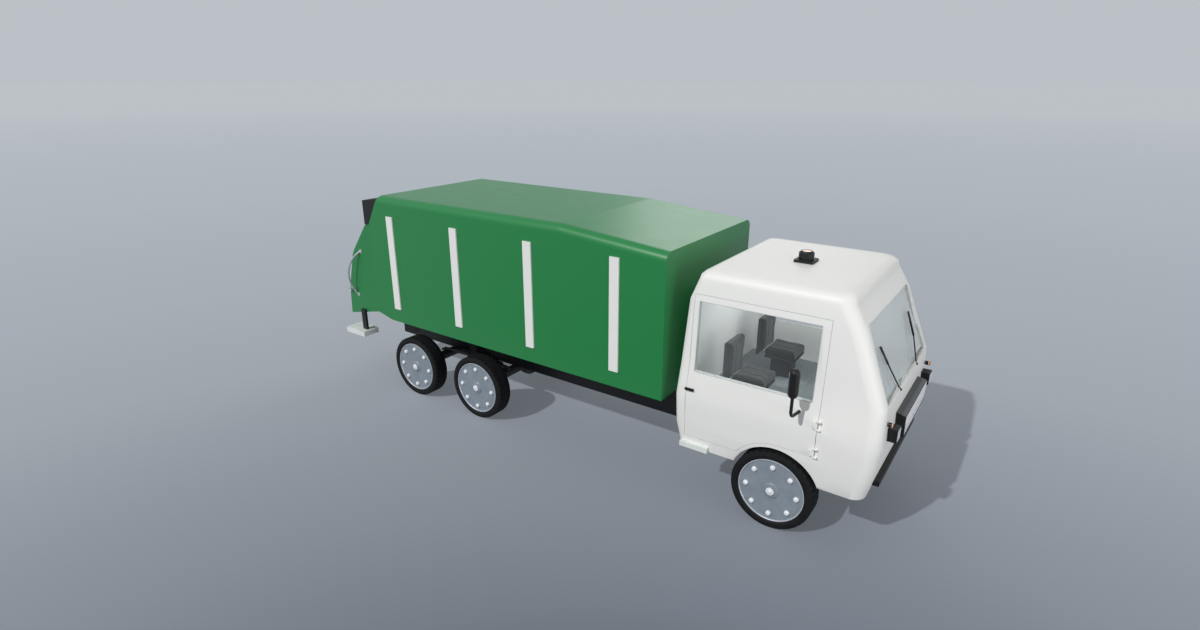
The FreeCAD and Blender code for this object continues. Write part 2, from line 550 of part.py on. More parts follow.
def make_ejector():
    """Ejector panel: a sheet with a swept-back lower apron and two runners on the floor."""
    half = BODY_W / 2 - BODY_WALL - 12
    floor = BODY_Z0 + BODY_FLOOR_T
    panel = prism([(-640, floor + 8, 0), (-900, floor + 8, 60), (-700, 1900, 200), (-640, 2960, 0),
                   (-600, 2960, 0), (-600, 1900, 0)], "xz", -half, half)
    runner = box(-860, -140, half - 160, half - 60, floor + SEAT_GAP, floor + 120)
    return fuse(panel, runner, mirrored(runner))


# ---------------------------------------------------------------- tailgate
# side outline of the hopper, from its top front corner down the rear and back: x, z, corner radius
HOPPER_OUTLINE = (
    (HOPPER_FRONT_X, HOPPER_TOP_Z, 0.0), (HOPPER_CREST_X, HOPPER_TOP_Z, 60.0), (-6235.0, 2200.0, 500.0),
    (-6430.0, 1560.0, 900.0), (HOPPER_REAR_X, HOPPER_FOOT_Z, 0.0), (HOPPER_FRONT_X, HOPPER_TROUGH_Z, 0.0))


def hopper_block(inset):
    """Hopper form with every side drawn in by inset."""
    wire = rounded_wire(HOPPER_OUTLINE, "xz", -HOPPER_HALF_W + inset)
    if inset:
        wire = wire.makeOffset2D(-inset)
    return Part.Face(wire).extrude(Vector(0, 2 * (HOPPER_HALF_W - inset), 0))


def make_hopper():
    """Hopper shell, open to the body in front and to the street at its mouth."""
    inside = HOPPER_HALF_W - HOPPER_WALL
    way = box(HOPPER_FRONT_X - HOPPER_WALL - 5, HOPPER_FRONT_X + 5, -inside, inside,
              BODY_Z0 + BODY_FLOOR_T, GATE_OPEN_Z1)
    mouth = box(HOPPER_REAR_X - 10, MOUTH_X, -inside, inside, MOUTH_Z0, MOUTH_Z1)
    return hopper_block(0).cut(hopper_block(HOPPER_WALL)).cut(way).cut(mouth)


def slant_point(z, out):
    """Point at a height on the body's slanted rear, stood off by out along its normal: x, z."""
    rise = BODY_TOP_Z - SLANT_LOW_Z
    run = SLANT_TOP_X - BODY_REAR_X
    length = math.hypot(rise, run)
    x = BODY_REAR_X + (z - SLANT_LOW_Z) * run / rise
    return x - out * rise / length, z + out * run / length


GATE_PIVOT_X, GATE_PIVOT_Z = slant_point(GATE_PIVOT_UP, GATE_PIVOT_OUT)


def make_housing():
    """Full-width hinge housing that fills the slant behind the roof and turns with the hopper."""
    r = GATE_PIVOT_OUT - HOUSING_CLEAR
    foot = slant_point(GATE_PIVOT_UP, HOUSING_CLEAR)
    low = slant_point(SLANT_LOW_Z, HOUSING_CLEAR)
    core = prism([(low[0], HOPPER_TOP_Z + SEAT_GAP, 0), (HOUSING_REAR_X, HOPPER_TOP_Z + SEAT_GAP, 0),
                  (HOUSING_REAR_X, HOUSING_REAR_Z, 20), (GATE_PIVOT_X - 6, GATE_PIVOT_Z + r - 1, 0),
                  (GATE_PIVOT_X, GATE_PIVOT_Z, 0), foot + (0,), low + (0,)],
                 "xz", -HOPPER_HALF_W, HOPPER_HALF_W)
    core = core.fuse(bar_y(GATE_PIVOT_X, GATE_PIVOT_Z, r, -HOPPER_HALF_W, HOPPER_HALF_W))
    notch_half = GATE_LUG_T / 2 + SIDE_GAP
    notch = bar_y(GATE_PIVOT_X, GATE_PIVOT_Z, 110, GATE_LUG_Y - notch_half, GATE_LUG_Y + notch_half)
    bore = bar_y(GATE_PIVOT_X, GATE_PIVOT_Z, GATE_PIN_R + RUNNING_FIT, GATE_LUG_Y - GATE_PIN_HALF - 5,
                 GATE_LUG_Y + GATE_PIN_HALF + 5)
    for tool in both(notch) + both(bore):
        core = core.cut(tool)
    return core.removeSplitter()


def make_gate_hinge():
    """Body side of the gate's hinge: on each side a lug that stands off the slant, with its pin."""
    high = slant_point(GATE_PIVOT_UP + 75, SEAT_GAP)
    low = slant_point(GATE_PIVOT_UP - 75, SEAT_GAP)
    nose = [slant_point(GATE_PIVOT_UP + rise, GATE_PIVOT_OUT + GATE_LUG_R) + (GATE_LUG_R * 0.9,)
            for rise in (45, -45)]
    lug = prism([high + (0,)] + nose + [low + (0,)],
                "xz", GATE_LUG_Y - GATE_LUG_T / 2, GATE_LUG_Y + GATE_LUG_T / 2)
    pin = bar_y(GATE_PIVOT_X, GATE_PIVOT_Z, GATE_PIN_R, GATE_LUG_Y - GATE_PIN_HALF, GATE_LUG_Y + GATE_PIN_HALF)
    return both(fuse(lug, pin))


def make_packer():
    """Packing arm on its cross shaft, with cheeks that hold the blade's pin, and the scoop blade."""
    pin_z = BLADE_PIN_Z
    shaft_end = HOPPER_HALF_W - HOPPER_WALL - SEAT_GAP
    shaft = bar_y(PACKER_X, PACKER_Z, PACKER_SHAFT_R, -shaft_end, shaft_end)
    plate = box(PACKER_X - ARM_T / 2, PACKER_X + ARM_T / 2, -ARM_HALF_W, ARM_HALF_W, pin_z + 62, PACKER_Z)
    cheek_y = BLADE_HALF_W + SIDE_GAP
    arm_x0, arm_x1, low = PACKER_X - ARM_T / 2, PACKER_X + ARM_T / 2, BLADE_PIN_Z - ARM_T / 2
    cheek = prism([(arm_x0, pin_z + 140, 0), (arm_x1, pin_z + 140, 0), (arm_x1, low, 38), (arm_x0, low, 38)],
                  "xz", cheek_y, ARM_HALF_W)
    pin = bar_y(PACKER_X, pin_z, BLADE_PIN_R, -cheek_y - 10, cheek_y + 10)
    node("packer_arm", fuse(shaft, plate, cheek, mirrored(cheek), pin))
    tube = bar_y(PACKER_X, pin_z, 46, -BLADE_HALF_W, BLADE_HALF_W)
    tip = pin_z - BLADE_LENGTH
    x = PACKER_X - BLADE_T / 2
    scoop = prism([(x, pin_z, 0), (x, pin_z - 260, 260), (x + 60, tip, 0), (x + 60 + BLADE_T, tip, 0),
                   (x + BLADE_T, pin_z - 260, 260), (x + BLADE_T, pin_z, 0)],
                  "xz", -BLADE_HALF_W, BLADE_HALF_W)
    bore = bar_y(PACKER_X, pin_z, BLADE_PIN_R + RUNNING_FIT, -ARM_HALF_W, ARM_HALF_W)
    node("packer_blade", fuse(tube, scoop).cut(bore))


def make_gate_fittings():
    """Grab rails, control knobs and the rear steps on their posts."""
    side = HOPPER_HALF_W
    foot, apex, head = [Vector(x, side + out, z) for x, out, z in (GRAB_FOOT, GRAB_APEX, GRAB_HEAD)]
    bow = Part.Arc(foot, apex, head)
    path = Part.Wire(bow.toShape())
    start = Part.Wire(Part.Circle(foot, bow.tangent(bow.FirstParameter)[0], RAIL_TUBE_R).toShape())
    rail = path.makePipeShell([start], True, True)
    rail = rail.common(box(HOPPER_REAR_X, HOPPER_FRONT_X, side + SEAT_GAP, apex.y + 2 * RAIL_TUBE_R,
                           foot.z - 100, head.z + 100))
    knob = bar_y(KNOB_X, KNOB_Z, KNOB_R, side + SEAT_GAP, side + KNOB_OUT)
    node("grab_rails", both(rail) + both(knob))
    post = box(STEP_POST_X0, STEP_POST_X1, side + SEAT_GAP, side + 40, STEP_Z + SEAT_GAP, STEP_POST_TOP_Z)
    node("step_posts", both(post))
    node("rear_steps", both(box(STEP_X0, STEP_X1, STEP_Y0, STEP_Y1, STEP_Z - STEP_T, STEP_Z)))


# ---------------------------------------------------------------- cab
def cab_form(inset, z0=None):
    """The cab's outer form, drawn in by inset: a loft of rounded rectangles with a rounded roof edge."""
    rows = [list(row) for row in CAB_SECTIONS]
    if z0 is not None:
        rows.insert(0, [z0] + rows[0][1:])
    spring_line = CAB_ROOF_Z - CAB_ROOF_R
    _, rear, front, half, r_rear, r_front = rows[-1]
    r = CAB_ROOF_R - inset
    for step in (1, 2, 3):
        angle = math.radians(30 * step)
        draw = r * (1 - math.cos(angle))
        rows.append([spring_line + r * math.sin(angle), rear + draw, front - draw, half - draw,
                     r_rear, r_front])
    wires = []
    for z, rear, front, half, r_rear, r_front in rows:
        rear, front, half = rear + inset, front - inset, half - inset
        wires.append(rounded_wire([(rear, -half, r_rear - inset / 2), (front, -half, r_front - inset / 2),
                                   (front, half, r_front - inset / 2), (rear, half, r_rear - inset / 2)],
                                  "xy", z))
    return lofted(wires)


def arch_cut(r, half_y=1400.0):
    return bar_y(AXLE_X["front"], AXLE_Z, r, -half_y, half_y)


def window_prism(inset):
    low_x, high_x = WINDOW_X0 + inset, WINDOW_X1 - inset
    return prism([(low_x, WINDOW_Z0 + inset, 12), (high_x, WINDOW_Z0 + inset, 12),
                  (high_x, WINDOW_Z1 - inset, 12), (low_x, WINDOW_Z1 - inset, 12)], "xz", 800, 1400)


def screen_prism(inset):
    low, top = SCREEN_HALF_LOW - inset, SCREEN_HALF_TOP - inset
    return prism([(-low, SCREEN_Z0 + inset, 25), (low, SCREEN_Z0 + inset, 25),
                  (top, SCREEN_Z1 - inset, 25), (-top, SCREEN_Z1 - inset, 25)], "yz", 1900, 2800)


def door_prism(grow):
    """Left door's outline through the side wall; its rear edge is bevelled so that it swings free."""
    arch_x = AXLE_X["front"]
    front, rear = DOOR_X1 + grow, DOOR_X0 - grow
    low, sill, top = DOOR_Z0 - grow, DOOR_SILL_Z - grow, DOOR_Z1 + grow
    r = DOOR_ARCH_R - grow
    reach = math.sqrt(r * r - (low - AXLE_Z) ** 2)
    climb = math.sqrt(r * r - (sill - AXLE_Z) ** 2) if r > sill - AXLE_Z else 0
    wires = []
    for y, bevel in ((1400.0, 0.0), (900.0, 70.0)):
        a = Vector(rear + bevel, y, low)
        b = Vector(arch_x - reach, y, low)
        angle = (math.acos(reach / r) + math.pi / 2) / 2 if climb == 0 else \
            (math.acos(reach / r) + math.acos(climb / r)) / 2
        mid = Vector(arch_x - r * math.cos(angle), y, AXLE_Z + r * math.sin(angle))
        c = Vector(arch_x - climb, y, sill) if climb else Vector(arch_x, y, AXLE_Z + r)
        d = Vector(front, y, c.z)
        e = Vector(front, y, top)
        f = Vector(rear + bevel, y, top)
        wires.append(Part.Wire([Part.LineSegment(a, b).toShape(), Part.Arc(b, mid, c).toShape(),
                                Part.LineSegment(c, d).toShape(), Part.LineSegment(d, e).toShape(),
                                Part.LineSegment(e, f).toShape(), Part.LineSegment(f, a).toShape()]))
    return lofted(wires)


def door_hinges(door, shell):
    """Two outside hinges on the left: barrels on the door, pins between ears on the shell."""
    x, y, r = DOOR_HINGE_X, DOOR_HINGE_Y, HINGE_BARREL_R
    root = y - HINGE_ROOT
    for z in HINGE_Z:
        z1 = z + HINGE_H
        door = door.fuse(bar_z(x, y, r, z, z1)).fuse(box(x - HINGE_LEAF, x, root, y + r, z, z1))
        door = door.cut(bar_z(x, y, HINGE_PIN_R + RUNNING_FIT, z - SEAT_GAP, z1 + SEAT_GAP))
        shell = shell.cut(bar_z(x, y, r + SIDE_GAP, z - SIDE_GAP, z1 + SIDE_GAP))
        low, high = z - SIDE_GAP - HINGE_EAR_H, z1 + SIDE_GAP
        shell = shell.fuse(bar_z(x, y, HINGE_PIN_R, low, high + HINGE_EAR_H))
        for level in (low, high):
            top = level + HINGE_EAR_H
            shell = shell.fuse(bar_z(x, y, r, level, top))
            shell = shell.fuse(box(x, x + HINGE_LEAF, y - r, y + r, level, top))
            shell = shell.fuse(box(DOOR_X1 + SIDE_GAP, x + HINGE_LEAF, root, y, level, top))
    return door, shell


def make_cab():
    outer = cab_form(0)
    below = outer.BoundBox.ZMin - 10
    wall = outer.cut(cab_form(CAB_WALL, below)).cut(arch_cut(ARCH_R)).cut(arch_cut(LINER_R, LINER_Y1))
    wall = wall.cut(box(outer.BoundBox.XMin - 10, CAB_BACK_X, -CAB_BACK_HALF, CAB_BACK_HALF, below,
                        CAB_FLOOR_Z - CAB_FLOOR_T - SIDE_GAP))
    opening = door_prism(SIDE_GAP)
    shell = wall.cut(opening).cut(mirrored(opening)).cut(screen_prism(0))
    panel = wall.common(door_prism(0)).cut(window_prism(0))
    left_door, shell = door_hinges(panel, shell)
    right_door, shell = door_hinges(panel, mirrored(shell))
    node("cab_shell", mirrored(shell).removeSplitter())
    node("door_left", left_door.removeSplitter())
    node("door_right", mirrored(right_door).removeSplitter())
    skin = cab_form(GLASS_SET_IN).cut(cab_form(GLASS_SET_IN + GLASS_T, below))
    glass = skin.common(window_prism(SEAT_GAP))
    deep_skin = cab_form(SCREEN_SET_IN).cut(cab_form(SCREEN_SET_IN + GLASS_T, below))
    node("windscreen", deep_skin.common(screen_prism(SEAT_GAP)))
    node("door_glass_left", glass)
    node("door_glass_right", mirrored(glass))
    lining = cab_form(CAB_WALL + SEAT_GAP)
    slab = lining.common(box(0, FRONT_X, -BODY_W / 2, BODY_W / 2, CAB_FLOOR_Z - CAB_FLOOR_T, CAB_FLOOR_Z))
    ear = prism([(TILT_X - 260, CAB_FLOOR_Z - CAB_FLOOR_T, 0), (TILT_X - 55, TILT_Z - 55, 50),
                 (TILT_X + 55, TILT_Z - 55, 50), (TILT_X + 120, CAB_FLOOR_Z - CAB_FLOOR_T, 0)],
                "xz", RAIL_Y + 12, RAIL_Y + 52)
    ear = ear.cut(bar_y(TILT_X, TILT_Z, TILT_PIN_R + RUNNING_FIT, RAIL_Y, RAIL_Y + 80))
    node("cab_floor", fuse(slab, ear, mirrored(ear)))
    liner = bar_y(AXLE_X["front"], AXLE_Z, LINER_R + LINER_T, LINER_Y0, LINER_Y1)
    node("arch_liners", both(liner.cut(arch_cut(LINER_R)).common(lining)))


def front_at(z):
    """The cab's front face at a height."""
    for low, high in zip(CAB_SECTIONS, CAB_SECTIONS[1:]):
        if low[0] <= z <= high[0]:
            return low[2] + (high[2] - low[2]) * (z - low[0]) / (high[0] - low[0])


def wiper(base_y, knee, tip):
    """Spindle, thin arm and thicker blade of one wiper, lying in the windscreen's recess."""
    base, knee, tip = [(front_at(z) - depth, y, z)
                       for (y, z), depth in zip(((base_y, WIPER_Z), knee, tip), WIPER_DEPTH)]
    start = [a + (b - a) * 0.88 for a, b in zip(base, knee)]
    return fuse(bar_x(base_y, WIPER_Z, SPINDLE_R, base[0] - 72, base[0] + 14),
                rod(base, knee, WIPER_ARM_R), rod(start, tip, WIPER_BLADE_R))


def make_cab_fittings():
    skin = cab_form(-SEAT_GAP, 600.0)
    rise_z = GRILLE_Z1 + GRILLE_TOP_RISE
    grille = prism([(FITTING_X0, GRILLE_Z0, 0), (FRONT_X, GRILLE_Z0, 4), (FRONT_X - 4, GRILLE_Z1, 4),
                    (GRILLE_TOP_X, rise_z, 0), (FITTING_X0, rise_z, 0)], "xz", -GRILLE_HALF_W, GRILLE_HALF_W)
    slots_z0, slots_z1 = GRILLE_Z0 + GRILLE_FRAME, GRILLE_Z1 - GRILLE_FRAME
    pitch = (slots_z1 - slots_z0) / GRILLE_SLOTS
    slot_half = GRILLE_HALF_W - GRILLE_FRAME
    for i in range(GRILLE_SLOTS):
        z = slots_z0 + pitch * (i + 0.2)
        grille = grille.cut(box(FRONT_X - GRILLE_SLOT_DEPTH, FRONT_X + 5, -slot_half, slot_half,
                                z, z + pitch * 0.6))
    node("grille", grille.cut(skin))
    node("headlamps", both(box(FITTING_X0, LAMP_X, LAMP_Y0, LAMP_Y1, LAMP_Z0, LAMP_Z1).cut(skin)))
    stalk = bar_x(INDICATOR_Y, INDICATOR_Z, STALK_R, FITTING_X0 - 100, INDICATOR_X0 + 15)
    lens = bar_x(INDICATOR_Y, INDICATOR_Z, INDICATOR_R, INDICATOR_X0, INDICATOR_X1)
    node("indicators", both(fuse(stalk, lens).cut(skin)))
    node("bumper", box(FITTING_X0, BUMPER_X, -BUMPER_HALF_W, BUMPER_HALF_W, BUMPER_Z0, BUMPER_Z1).cut(skin))
    frame = skin.cut(screen_prism(SEAT_GAP))
    node("wipers", *[wiper(*row).cut(frame) for row in WIPERS])
    half, plate_top = BEACON_PLATE / 2, CAB_ROOF_Z + BEACON_PLATE_T
    plate = box(BEACON_X - half, BEACON_X + half, -half, half, CAB_ROOF_Z + SEAT_GAP, plate_top)
    dome = Part.makeCone(BEACON_R - 8, BEACON_R - 24, BEACON_TOP_Z - BEACON_LENS_Z,
                         Vector(BEACON_X, 0, BEACON_LENS_Z))
    node("beacon", fuse(plate, bar_z(BEACON_X, 0, BEACON_R, plate_top, BEACON_LENS_Z), dome))
    step_z = CAB_SECTIONS[0][0]
    step = box(CAB_STEP_X0, CAB_STEP_X1, 1000, CAB_STEP_Y, step_z, step_z + CAB_STEP_H)
    node("cab_steps", both(step.cut(skin)))
    dash = prism(DASH_PROFILE, "xz", -DASH_HALF_W, DASH_HALF_W).common(cab_form(CAB_WALL + SEAT_GAP))
    node("dashboard", dash)
    cushion = box(CUSHION_X0, CUSHION_X1, SEAT_Y0, SEAT_Y1, CUSHION_Z0, CUSHION_Z1)
    back = box(BACKREST_X0, BACKREST_X1, SEAT_Y0 + 10, SEAT_Y1 - 10, CUSHION_Z0, BACKREST_Z1)
    pedestal = box(PEDESTAL_X0, PEDESTAL_X1, SEAT_Y0 + PEDESTAL_SET_IN, SEAT_Y1 - PEDESTAL_SET_IN,
                   CAB_FLOOR_Z + SEAT_GAP, CUSHION_Z0)
    node("seats", both(fuse(cushion, back, pedestal)))
    centre, tilt = Vector(WHEEL_RING_X, (SEAT_Y0 + SEAT_Y1) / 2, WHEEL_RING_Z), Vector(*WHEEL_TILT)
    ring = Part.makeTorus(WHEEL_RING_R, WHEEL_RING_T, centre, tilt)
    column = Part.makeCylinder(COLUMN_R, COLUMN_LENGTH, centre, tilt * -1)
    spokes = [Part.makeCylinder(SPOKE_R, WHEEL_RING_R, centre, Vector(0, arm, 0)) for arm in (1, -1)]
    node("steering_wheel", fuse(ring, column, *spokes).cut(cab_form(CAB_WALL).common(dash)))
    head = fuse(bar_z(MIRROR_X, MIRROR_Y, MIRROR_R, MIRROR_Z0, MIRROR_Z1),
                *[Part.makeSphere(MIRROR_R, Vector(MIRROR_X, MIRROR_Y, z)) for z in (MIRROR_Z0, MIRROR_Z1)])
    tube = pipe([(MIRROR_X, MIRROR_Y, MIRROR_Z0, 0), (MIRROR_X, MIRROR_Y, MIRROR_ARM_Z, MIRROR_BEND_R),
                 MIRROR_FOOT + (0,)], MIRROR_TUBE_R)
    mirror = fuse(head, tube).cut(skin)
    handle = box(HANDLE_X0, HANDLE_X1, HANDLE_Y - 58, HANDLE_Y, HANDLE_Z0, HANDLE_Z1).cut(skin)
    for side, name in ((1, "left"), (-1, "right")):
        pieces = [mirror, handle] if side > 0 else [mirrored(mirror), mirrored(handle)]
        node("door_fittings_" + name, pieces)


# ---------------------------------------------------------------- assembly
def build():
    for end in ("front", "mid", "rear"):
        for side, name in ((1, "left"), (-1, "right")):
            tyre, rim = make_wheel(side, AXLE_X[end])
            node("tyre_%s_%s" % (end, name), tyre)
            node("rim_%s_%s" % (end, name), rim)
    knuckle = make_knuckle()
    node("knuckle_left", knuckle)
    node("knuckle_right", mirrored(knuckle))
    node("front_axle", make_front_axle())
    node("drive_axles", make_drive_axle(AXLE_X["mid"]), make_drive_axle(AXLE_X["rear"]))
    node("leaf_springs", make_springs())
    node("side_rails", both(make_rail()))
    node("cross_members", make_cross_members())
    node("engine_block", box(ENGINE_X0, ENGINE_X1, -ENGINE_HALF_W, ENGINE_HALF_W, ENGINE_Z0, ENGINE_Z1))
    node("driveline", make_driveline())
    node("refuse_body", make_body())
    node("body_ribs", make_ribs())
    node("ejector", make_ejector())
    node("hopper", make_hopper())
    make_packer()
    make_gate_fittings()
    node("hinge_housing", make_housing())
    node("gate_hinge", make_gate_hinge())
    make_cab()
    make_cab_fittings()


ORIGIN_X = (FRONT_X + HOPPER_REAR_X) / 2

if __name__ == "__main__":
    build()
    os.makedirs("parts", exist_ok=True)
    for name, solids in NODES.items():
        shape = solids[0] if len(solids) == 1 else Part.makeCompound(solids)
        shape.translate(Vector(-ORIGIN_X, 0, 0))
        shape.exportStep("parts/%s.step" % name)
        print(name, len(shape.Solids), shape.isValid(), round(shape.Volume / 1e6, 2))
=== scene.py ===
# %% [markdown]
# # A rear-loading refuse truck
# The shapes of the truck come from a imported CAD model, which is loaded as a fixed frame: each node is a
# rigid piece, let go of its parent and laid out in world coordinates. This lesson dresses that frame. It gives
# every node a material made of nodes, and adds the small pieces that a CAD model leaves out, such as wheel
# nuts, tyre tread, lamp lenses, seals and padded seats.

# %% Load the frame and its record
import json
import math
import bmesh
import bpy
from mathutils import Matrix, Vector


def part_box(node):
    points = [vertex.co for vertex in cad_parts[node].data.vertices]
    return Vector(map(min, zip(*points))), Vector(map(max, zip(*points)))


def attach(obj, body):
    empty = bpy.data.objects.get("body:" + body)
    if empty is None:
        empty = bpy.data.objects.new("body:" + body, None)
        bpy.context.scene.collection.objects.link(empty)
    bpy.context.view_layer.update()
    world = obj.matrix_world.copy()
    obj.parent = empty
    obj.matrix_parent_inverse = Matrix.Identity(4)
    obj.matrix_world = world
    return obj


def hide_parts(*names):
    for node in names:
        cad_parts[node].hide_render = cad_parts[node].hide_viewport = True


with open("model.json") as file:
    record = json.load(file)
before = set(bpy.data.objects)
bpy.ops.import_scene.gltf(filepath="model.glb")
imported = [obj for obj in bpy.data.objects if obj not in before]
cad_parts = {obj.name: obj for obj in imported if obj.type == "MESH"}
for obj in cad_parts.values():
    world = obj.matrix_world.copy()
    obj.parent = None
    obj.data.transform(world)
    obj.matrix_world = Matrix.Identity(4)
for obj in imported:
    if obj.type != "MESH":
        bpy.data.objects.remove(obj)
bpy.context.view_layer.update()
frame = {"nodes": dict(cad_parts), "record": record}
SIDES = {"left": 1, "right": -1}
AXLES = ("front", "mid", "rear")

# %% [markdown]
# ## The camera
# A camera is placed by a matrix whose columns are its right, up and backward directions. Working the
# three out from a heading, a downward pitch and a small roll keeps them square to each other.

# %% Set up the camera
FAR_EDGE = 900  # metres: the floor's width and the camera's reach
CAMERA_PLACE = Vector((5.5656, -7.8833, 5.0863))
HEADING, PITCH, ROLL = (math.radians(a) for a in (34.848, 19.700, 0.123))
LENS_MM, SENSOR_MM = 20.069, 36.0

ahead = Vector((-math.sin(HEADING) * math.cos(PITCH), math.cos(HEADING) * math.cos(PITCH),
                -math.sin(PITCH)))
level_right = Vector((math.cos(HEADING), math.sin(HEADING), 0))
level_up = level_right.cross(ahead)
right = level_right * math.cos(ROLL) + level_up * math.sin(ROLL)
up = right.cross(ahead)
camera_data = bpy.data.cameras.new("camera")
camera_data.lens, camera_data.sensor_width, camera_data.clip_end = LENS_MM, SENSOR_MM, FAR_EDGE
camera = bpy.data.objects.new("camera", camera_data)
bpy.context.scene.collection.objects.link(camera)
turn = Matrix((right, up, -ahead)).transposed().to_4x4()
camera.matrix_world = Matrix.Translation(CAMERA_PLACE) @ turn
bpy.context.scene.camera = camera
print("camera at", tuple(CAMERA_PLACE))

# %% [markdown]
# ## Colours and nodes
# Every finish below is built from shader nodes. Two helpers keep that short: one turns an ordinary
# screen colour into the linear values that light works with, the other adds a node and its links.

# %% Helpers for colours and nodes
def colour(code):
    """An sRGB colour such as #207040 as the linear values that shaders use."""
    linear = []
    for start in (1, 3, 5):
        value = int(code[start:start + 2], 16) / 255
        linear.append(value / 12.92 if value <= 0.04045 else ((value + 0.055) / 1.055) ** 2.4)
    return (*linear, 1.0)


def add(material, kind, settings=None, links=None):
    """Add a shader node. settings: its options and input values; links: the outputs that feed it."""
    made = material.node_tree.nodes.new("ShaderNode" + kind)
    options = {name: value for name, value in (settings or {}).items() if hasattr(made, str(name))}
    for name, value in options.items():
        setattr(made, name, value)
    for name, value in (settings or {}).items():
        if name not in options:
            made.inputs[name].default_value = value
    for name, (source, output) in (links or {}).items():
        material.node_tree.links.new(source.outputs[output], made.inputs[name])
    return made


def own_place(material):
    """The piece's own coordinates: the output of one node that the whole material shares."""
    nodes = material.node_tree.nodes
    return nodes.get("Texture Coordinate") or nodes.new("ShaderNodeTexCoord"), "Object"


def surface(name, code, settings):
    """A new material whose Principled shader has these values: returns the material and the shader."""
    material = bpy.data.materials.new(name)
    material.use_nodes = True
    shader = material.node_tree.nodes["Principled BSDF"]
    shader.inputs["Base Color"].default_value = colour(code)
    for key, value in settings.items():
        shader.inputs[key].default_value = value
    return material, shader


def feed(material, source, output, shader, name):
    """Lead a node's output to one of the shader's inputs."""
    material.node_tree.links.new(source.outputs[output], shader.inputs[name])


# %% [markdown]
# ## The floor, the air and the lamps
# The truck stands on one floor whose colour is painted darker near the camera and paler further off, a painted
# fall of light, and runs into the colour of the air far away, so no horizon line shows. One sun with a
# slightly soft edge gives the shadow its direction. The world fills the shade, a wide lamp ahead of the cab
# stands in for a bright wall, and another far behind the truck draws a sheen along the roofs. The floor glows
# faintly, so the shade beneath stays open.

# %% The floor, painted darker near the camera, fades into the air
AIR = "#BCC1C7"
FLOOR_CENTRE = (5.57, -7.88, 0.0)
# distance from that centre in metres, and the floor's colour there: painted darker close to the camera as
# painted shade, paler further off
FLOOR_PAINTED_FALLOFF = ((4.5, "#5C626A"), (5.5, "#6C727C"), (7.2, "#7A8089"), (10.0, "#878D96"),
               (12.6, "#91979E"), (18.0, "#989EA6"), (33.0, "#9FA6AD"), (120.0, "#ABB0B5"))
FLOOR_GLOW = 0.44

bpy.ops.mesh.primitive_plane_add(size=FAR_EDGE)
floor = bpy.context.object
floor.name = "floor"
floor_paint, shader = surface("floor_paint", AIR, {"Roughness": 0.9, "Specular IOR Level": 0.1})
away = add(floor_paint, "VectorMath", {"operation": "DISTANCE", 1: FLOOR_CENTRE},
           {0: own_place(floor_paint)})
first, last = FLOOR_PAINTED_FALLOFF[0][0], FLOOR_PAINTED_FALLOFF[-1][0]
share = add(floor_paint, "MapRange", {"From Min": first, "From Max": last}, {"Value": (away, "Value")})
ramp = add(floor_paint, "ValToRGB", None, {"Fac": (share, "Result")})
stops = ramp.color_ramp.elements
while len(stops) < len(FLOOR_PAINTED_FALLOFF):
    stops.new(0.5)
for stop, (metres, code) in zip(stops, FLOOR_PAINTED_FALLOFF):
    stop.position, stop.color = (metres - first) / (last - first), colour(code)
for name in ("Base Color", "Emission Color"):
    feed(floor_paint, ramp, "Color", shader, name)
shader.inputs["Emission Strength"].default_value = FLOOR_GLOW
floor.data.materials.append(floor_paint)
print("floor", tuple(floor.dimensions))

# %% The air and the lamps
AIR_LIGHT, SUN_LIGHT, WALL_LIGHT, FAR_LIGHT = 0.36, 2.02, 82.0, 58.0
SUN_RAY = Vector((0.323, 1.0965, -1.0))
SUN_WIDTH, LAMP_SPREAD = math.radians(1.2), math.radians(75)
# name, place, aim, watts and width in metres
WIDE_LAMPS = (("bright_wall", (13.0, -3.5, 3.2), (-1.0, 0.30, 0.0), WALL_LIGHT, 6.0),
              ("far_window", (-3.0, 13.8, 10.4), (0.29, -0.86, -0.45), FAR_LIGHT, 8.0))

world = bpy.data.worlds.new("air")
bpy.context.scene.world = world
world.use_nodes = True
lit = world.node_tree.nodes["Background"]
lit.inputs["Color"].default_value = colour("#FCFCFA")
lit.inputs["Strength"].default_value = AIR_LIGHT
seen = add(world, "Background", {"Color": colour(AIR), "Strength": 1.0})
path = add(world, "LightPath")
looked_at = add(world, "Math", {"operation": "MAXIMUM"},
                {0: (path, "Is Camera Ray"), 1: (path, "Is Glossy Ray")})
looked_through = add(world, "Math", {"operation": "MAXIMUM"},
                     {0: (looked_at, "Value"), 1: (path, "Is Transmission Ray")})
both_airs = add(world, "MixShader", None,
                {0: (looked_through, "Value"), 1: (lit, "Background"), 2: (seen, "Background")})
air_out = world.node_tree.nodes["World Output"]
world.node_tree.links.new(both_airs.outputs["Shader"], air_out.inputs["Surface"])

bpy.ops.object.light_add(type="SUN")
sun = bpy.context.object
sun.name = "sun"
sun.rotation_euler = SUN_RAY.to_track_quat("-Z", "Y").to_euler()
sun.data.energy, sun.data.angle = SUN_LIGHT, SUN_WIDTH
for name, spot, aim, watts, size in WIDE_LAMPS:
    bpy.ops.object.light_add(type="AREA", location=spot)
    lamp = bpy.context.object
    lamp.name = name
    lamp.rotation_euler = Vector(aim).to_track_quat("-Z", "Y").to_euler()
    lamp.data.energy, lamp.data.size, lamp.data.spread = watts, size, LAMP_SPREAD
    lamp.visible_camera = False
# the wall's light skips the floor, so the shadow ahead of the cab stays even
spared = bpy.data.collections.new("floor_without_wall_light")
spared.objects.link(floor)
bpy.data.objects["bright_wall"].light_linking.receiver_collection = spared
spared.collection_objects[0].light_linking.link_state = "EXCLUDE"
bpy.context.scene.view_settings.view_transform = "Standard"
print("lamps:", sun.name, "and two wide ones")

# %% [markdown]
# ## What the finishes share
# Two things keep a surface from looking flat: its colour drifts a little from place to place, and fine
# relief breaks up its shine. Both can come from a noise pattern read in metres, so its scale follows
# from a real size: a pattern that repeats every 5 mm has a scale of 200.

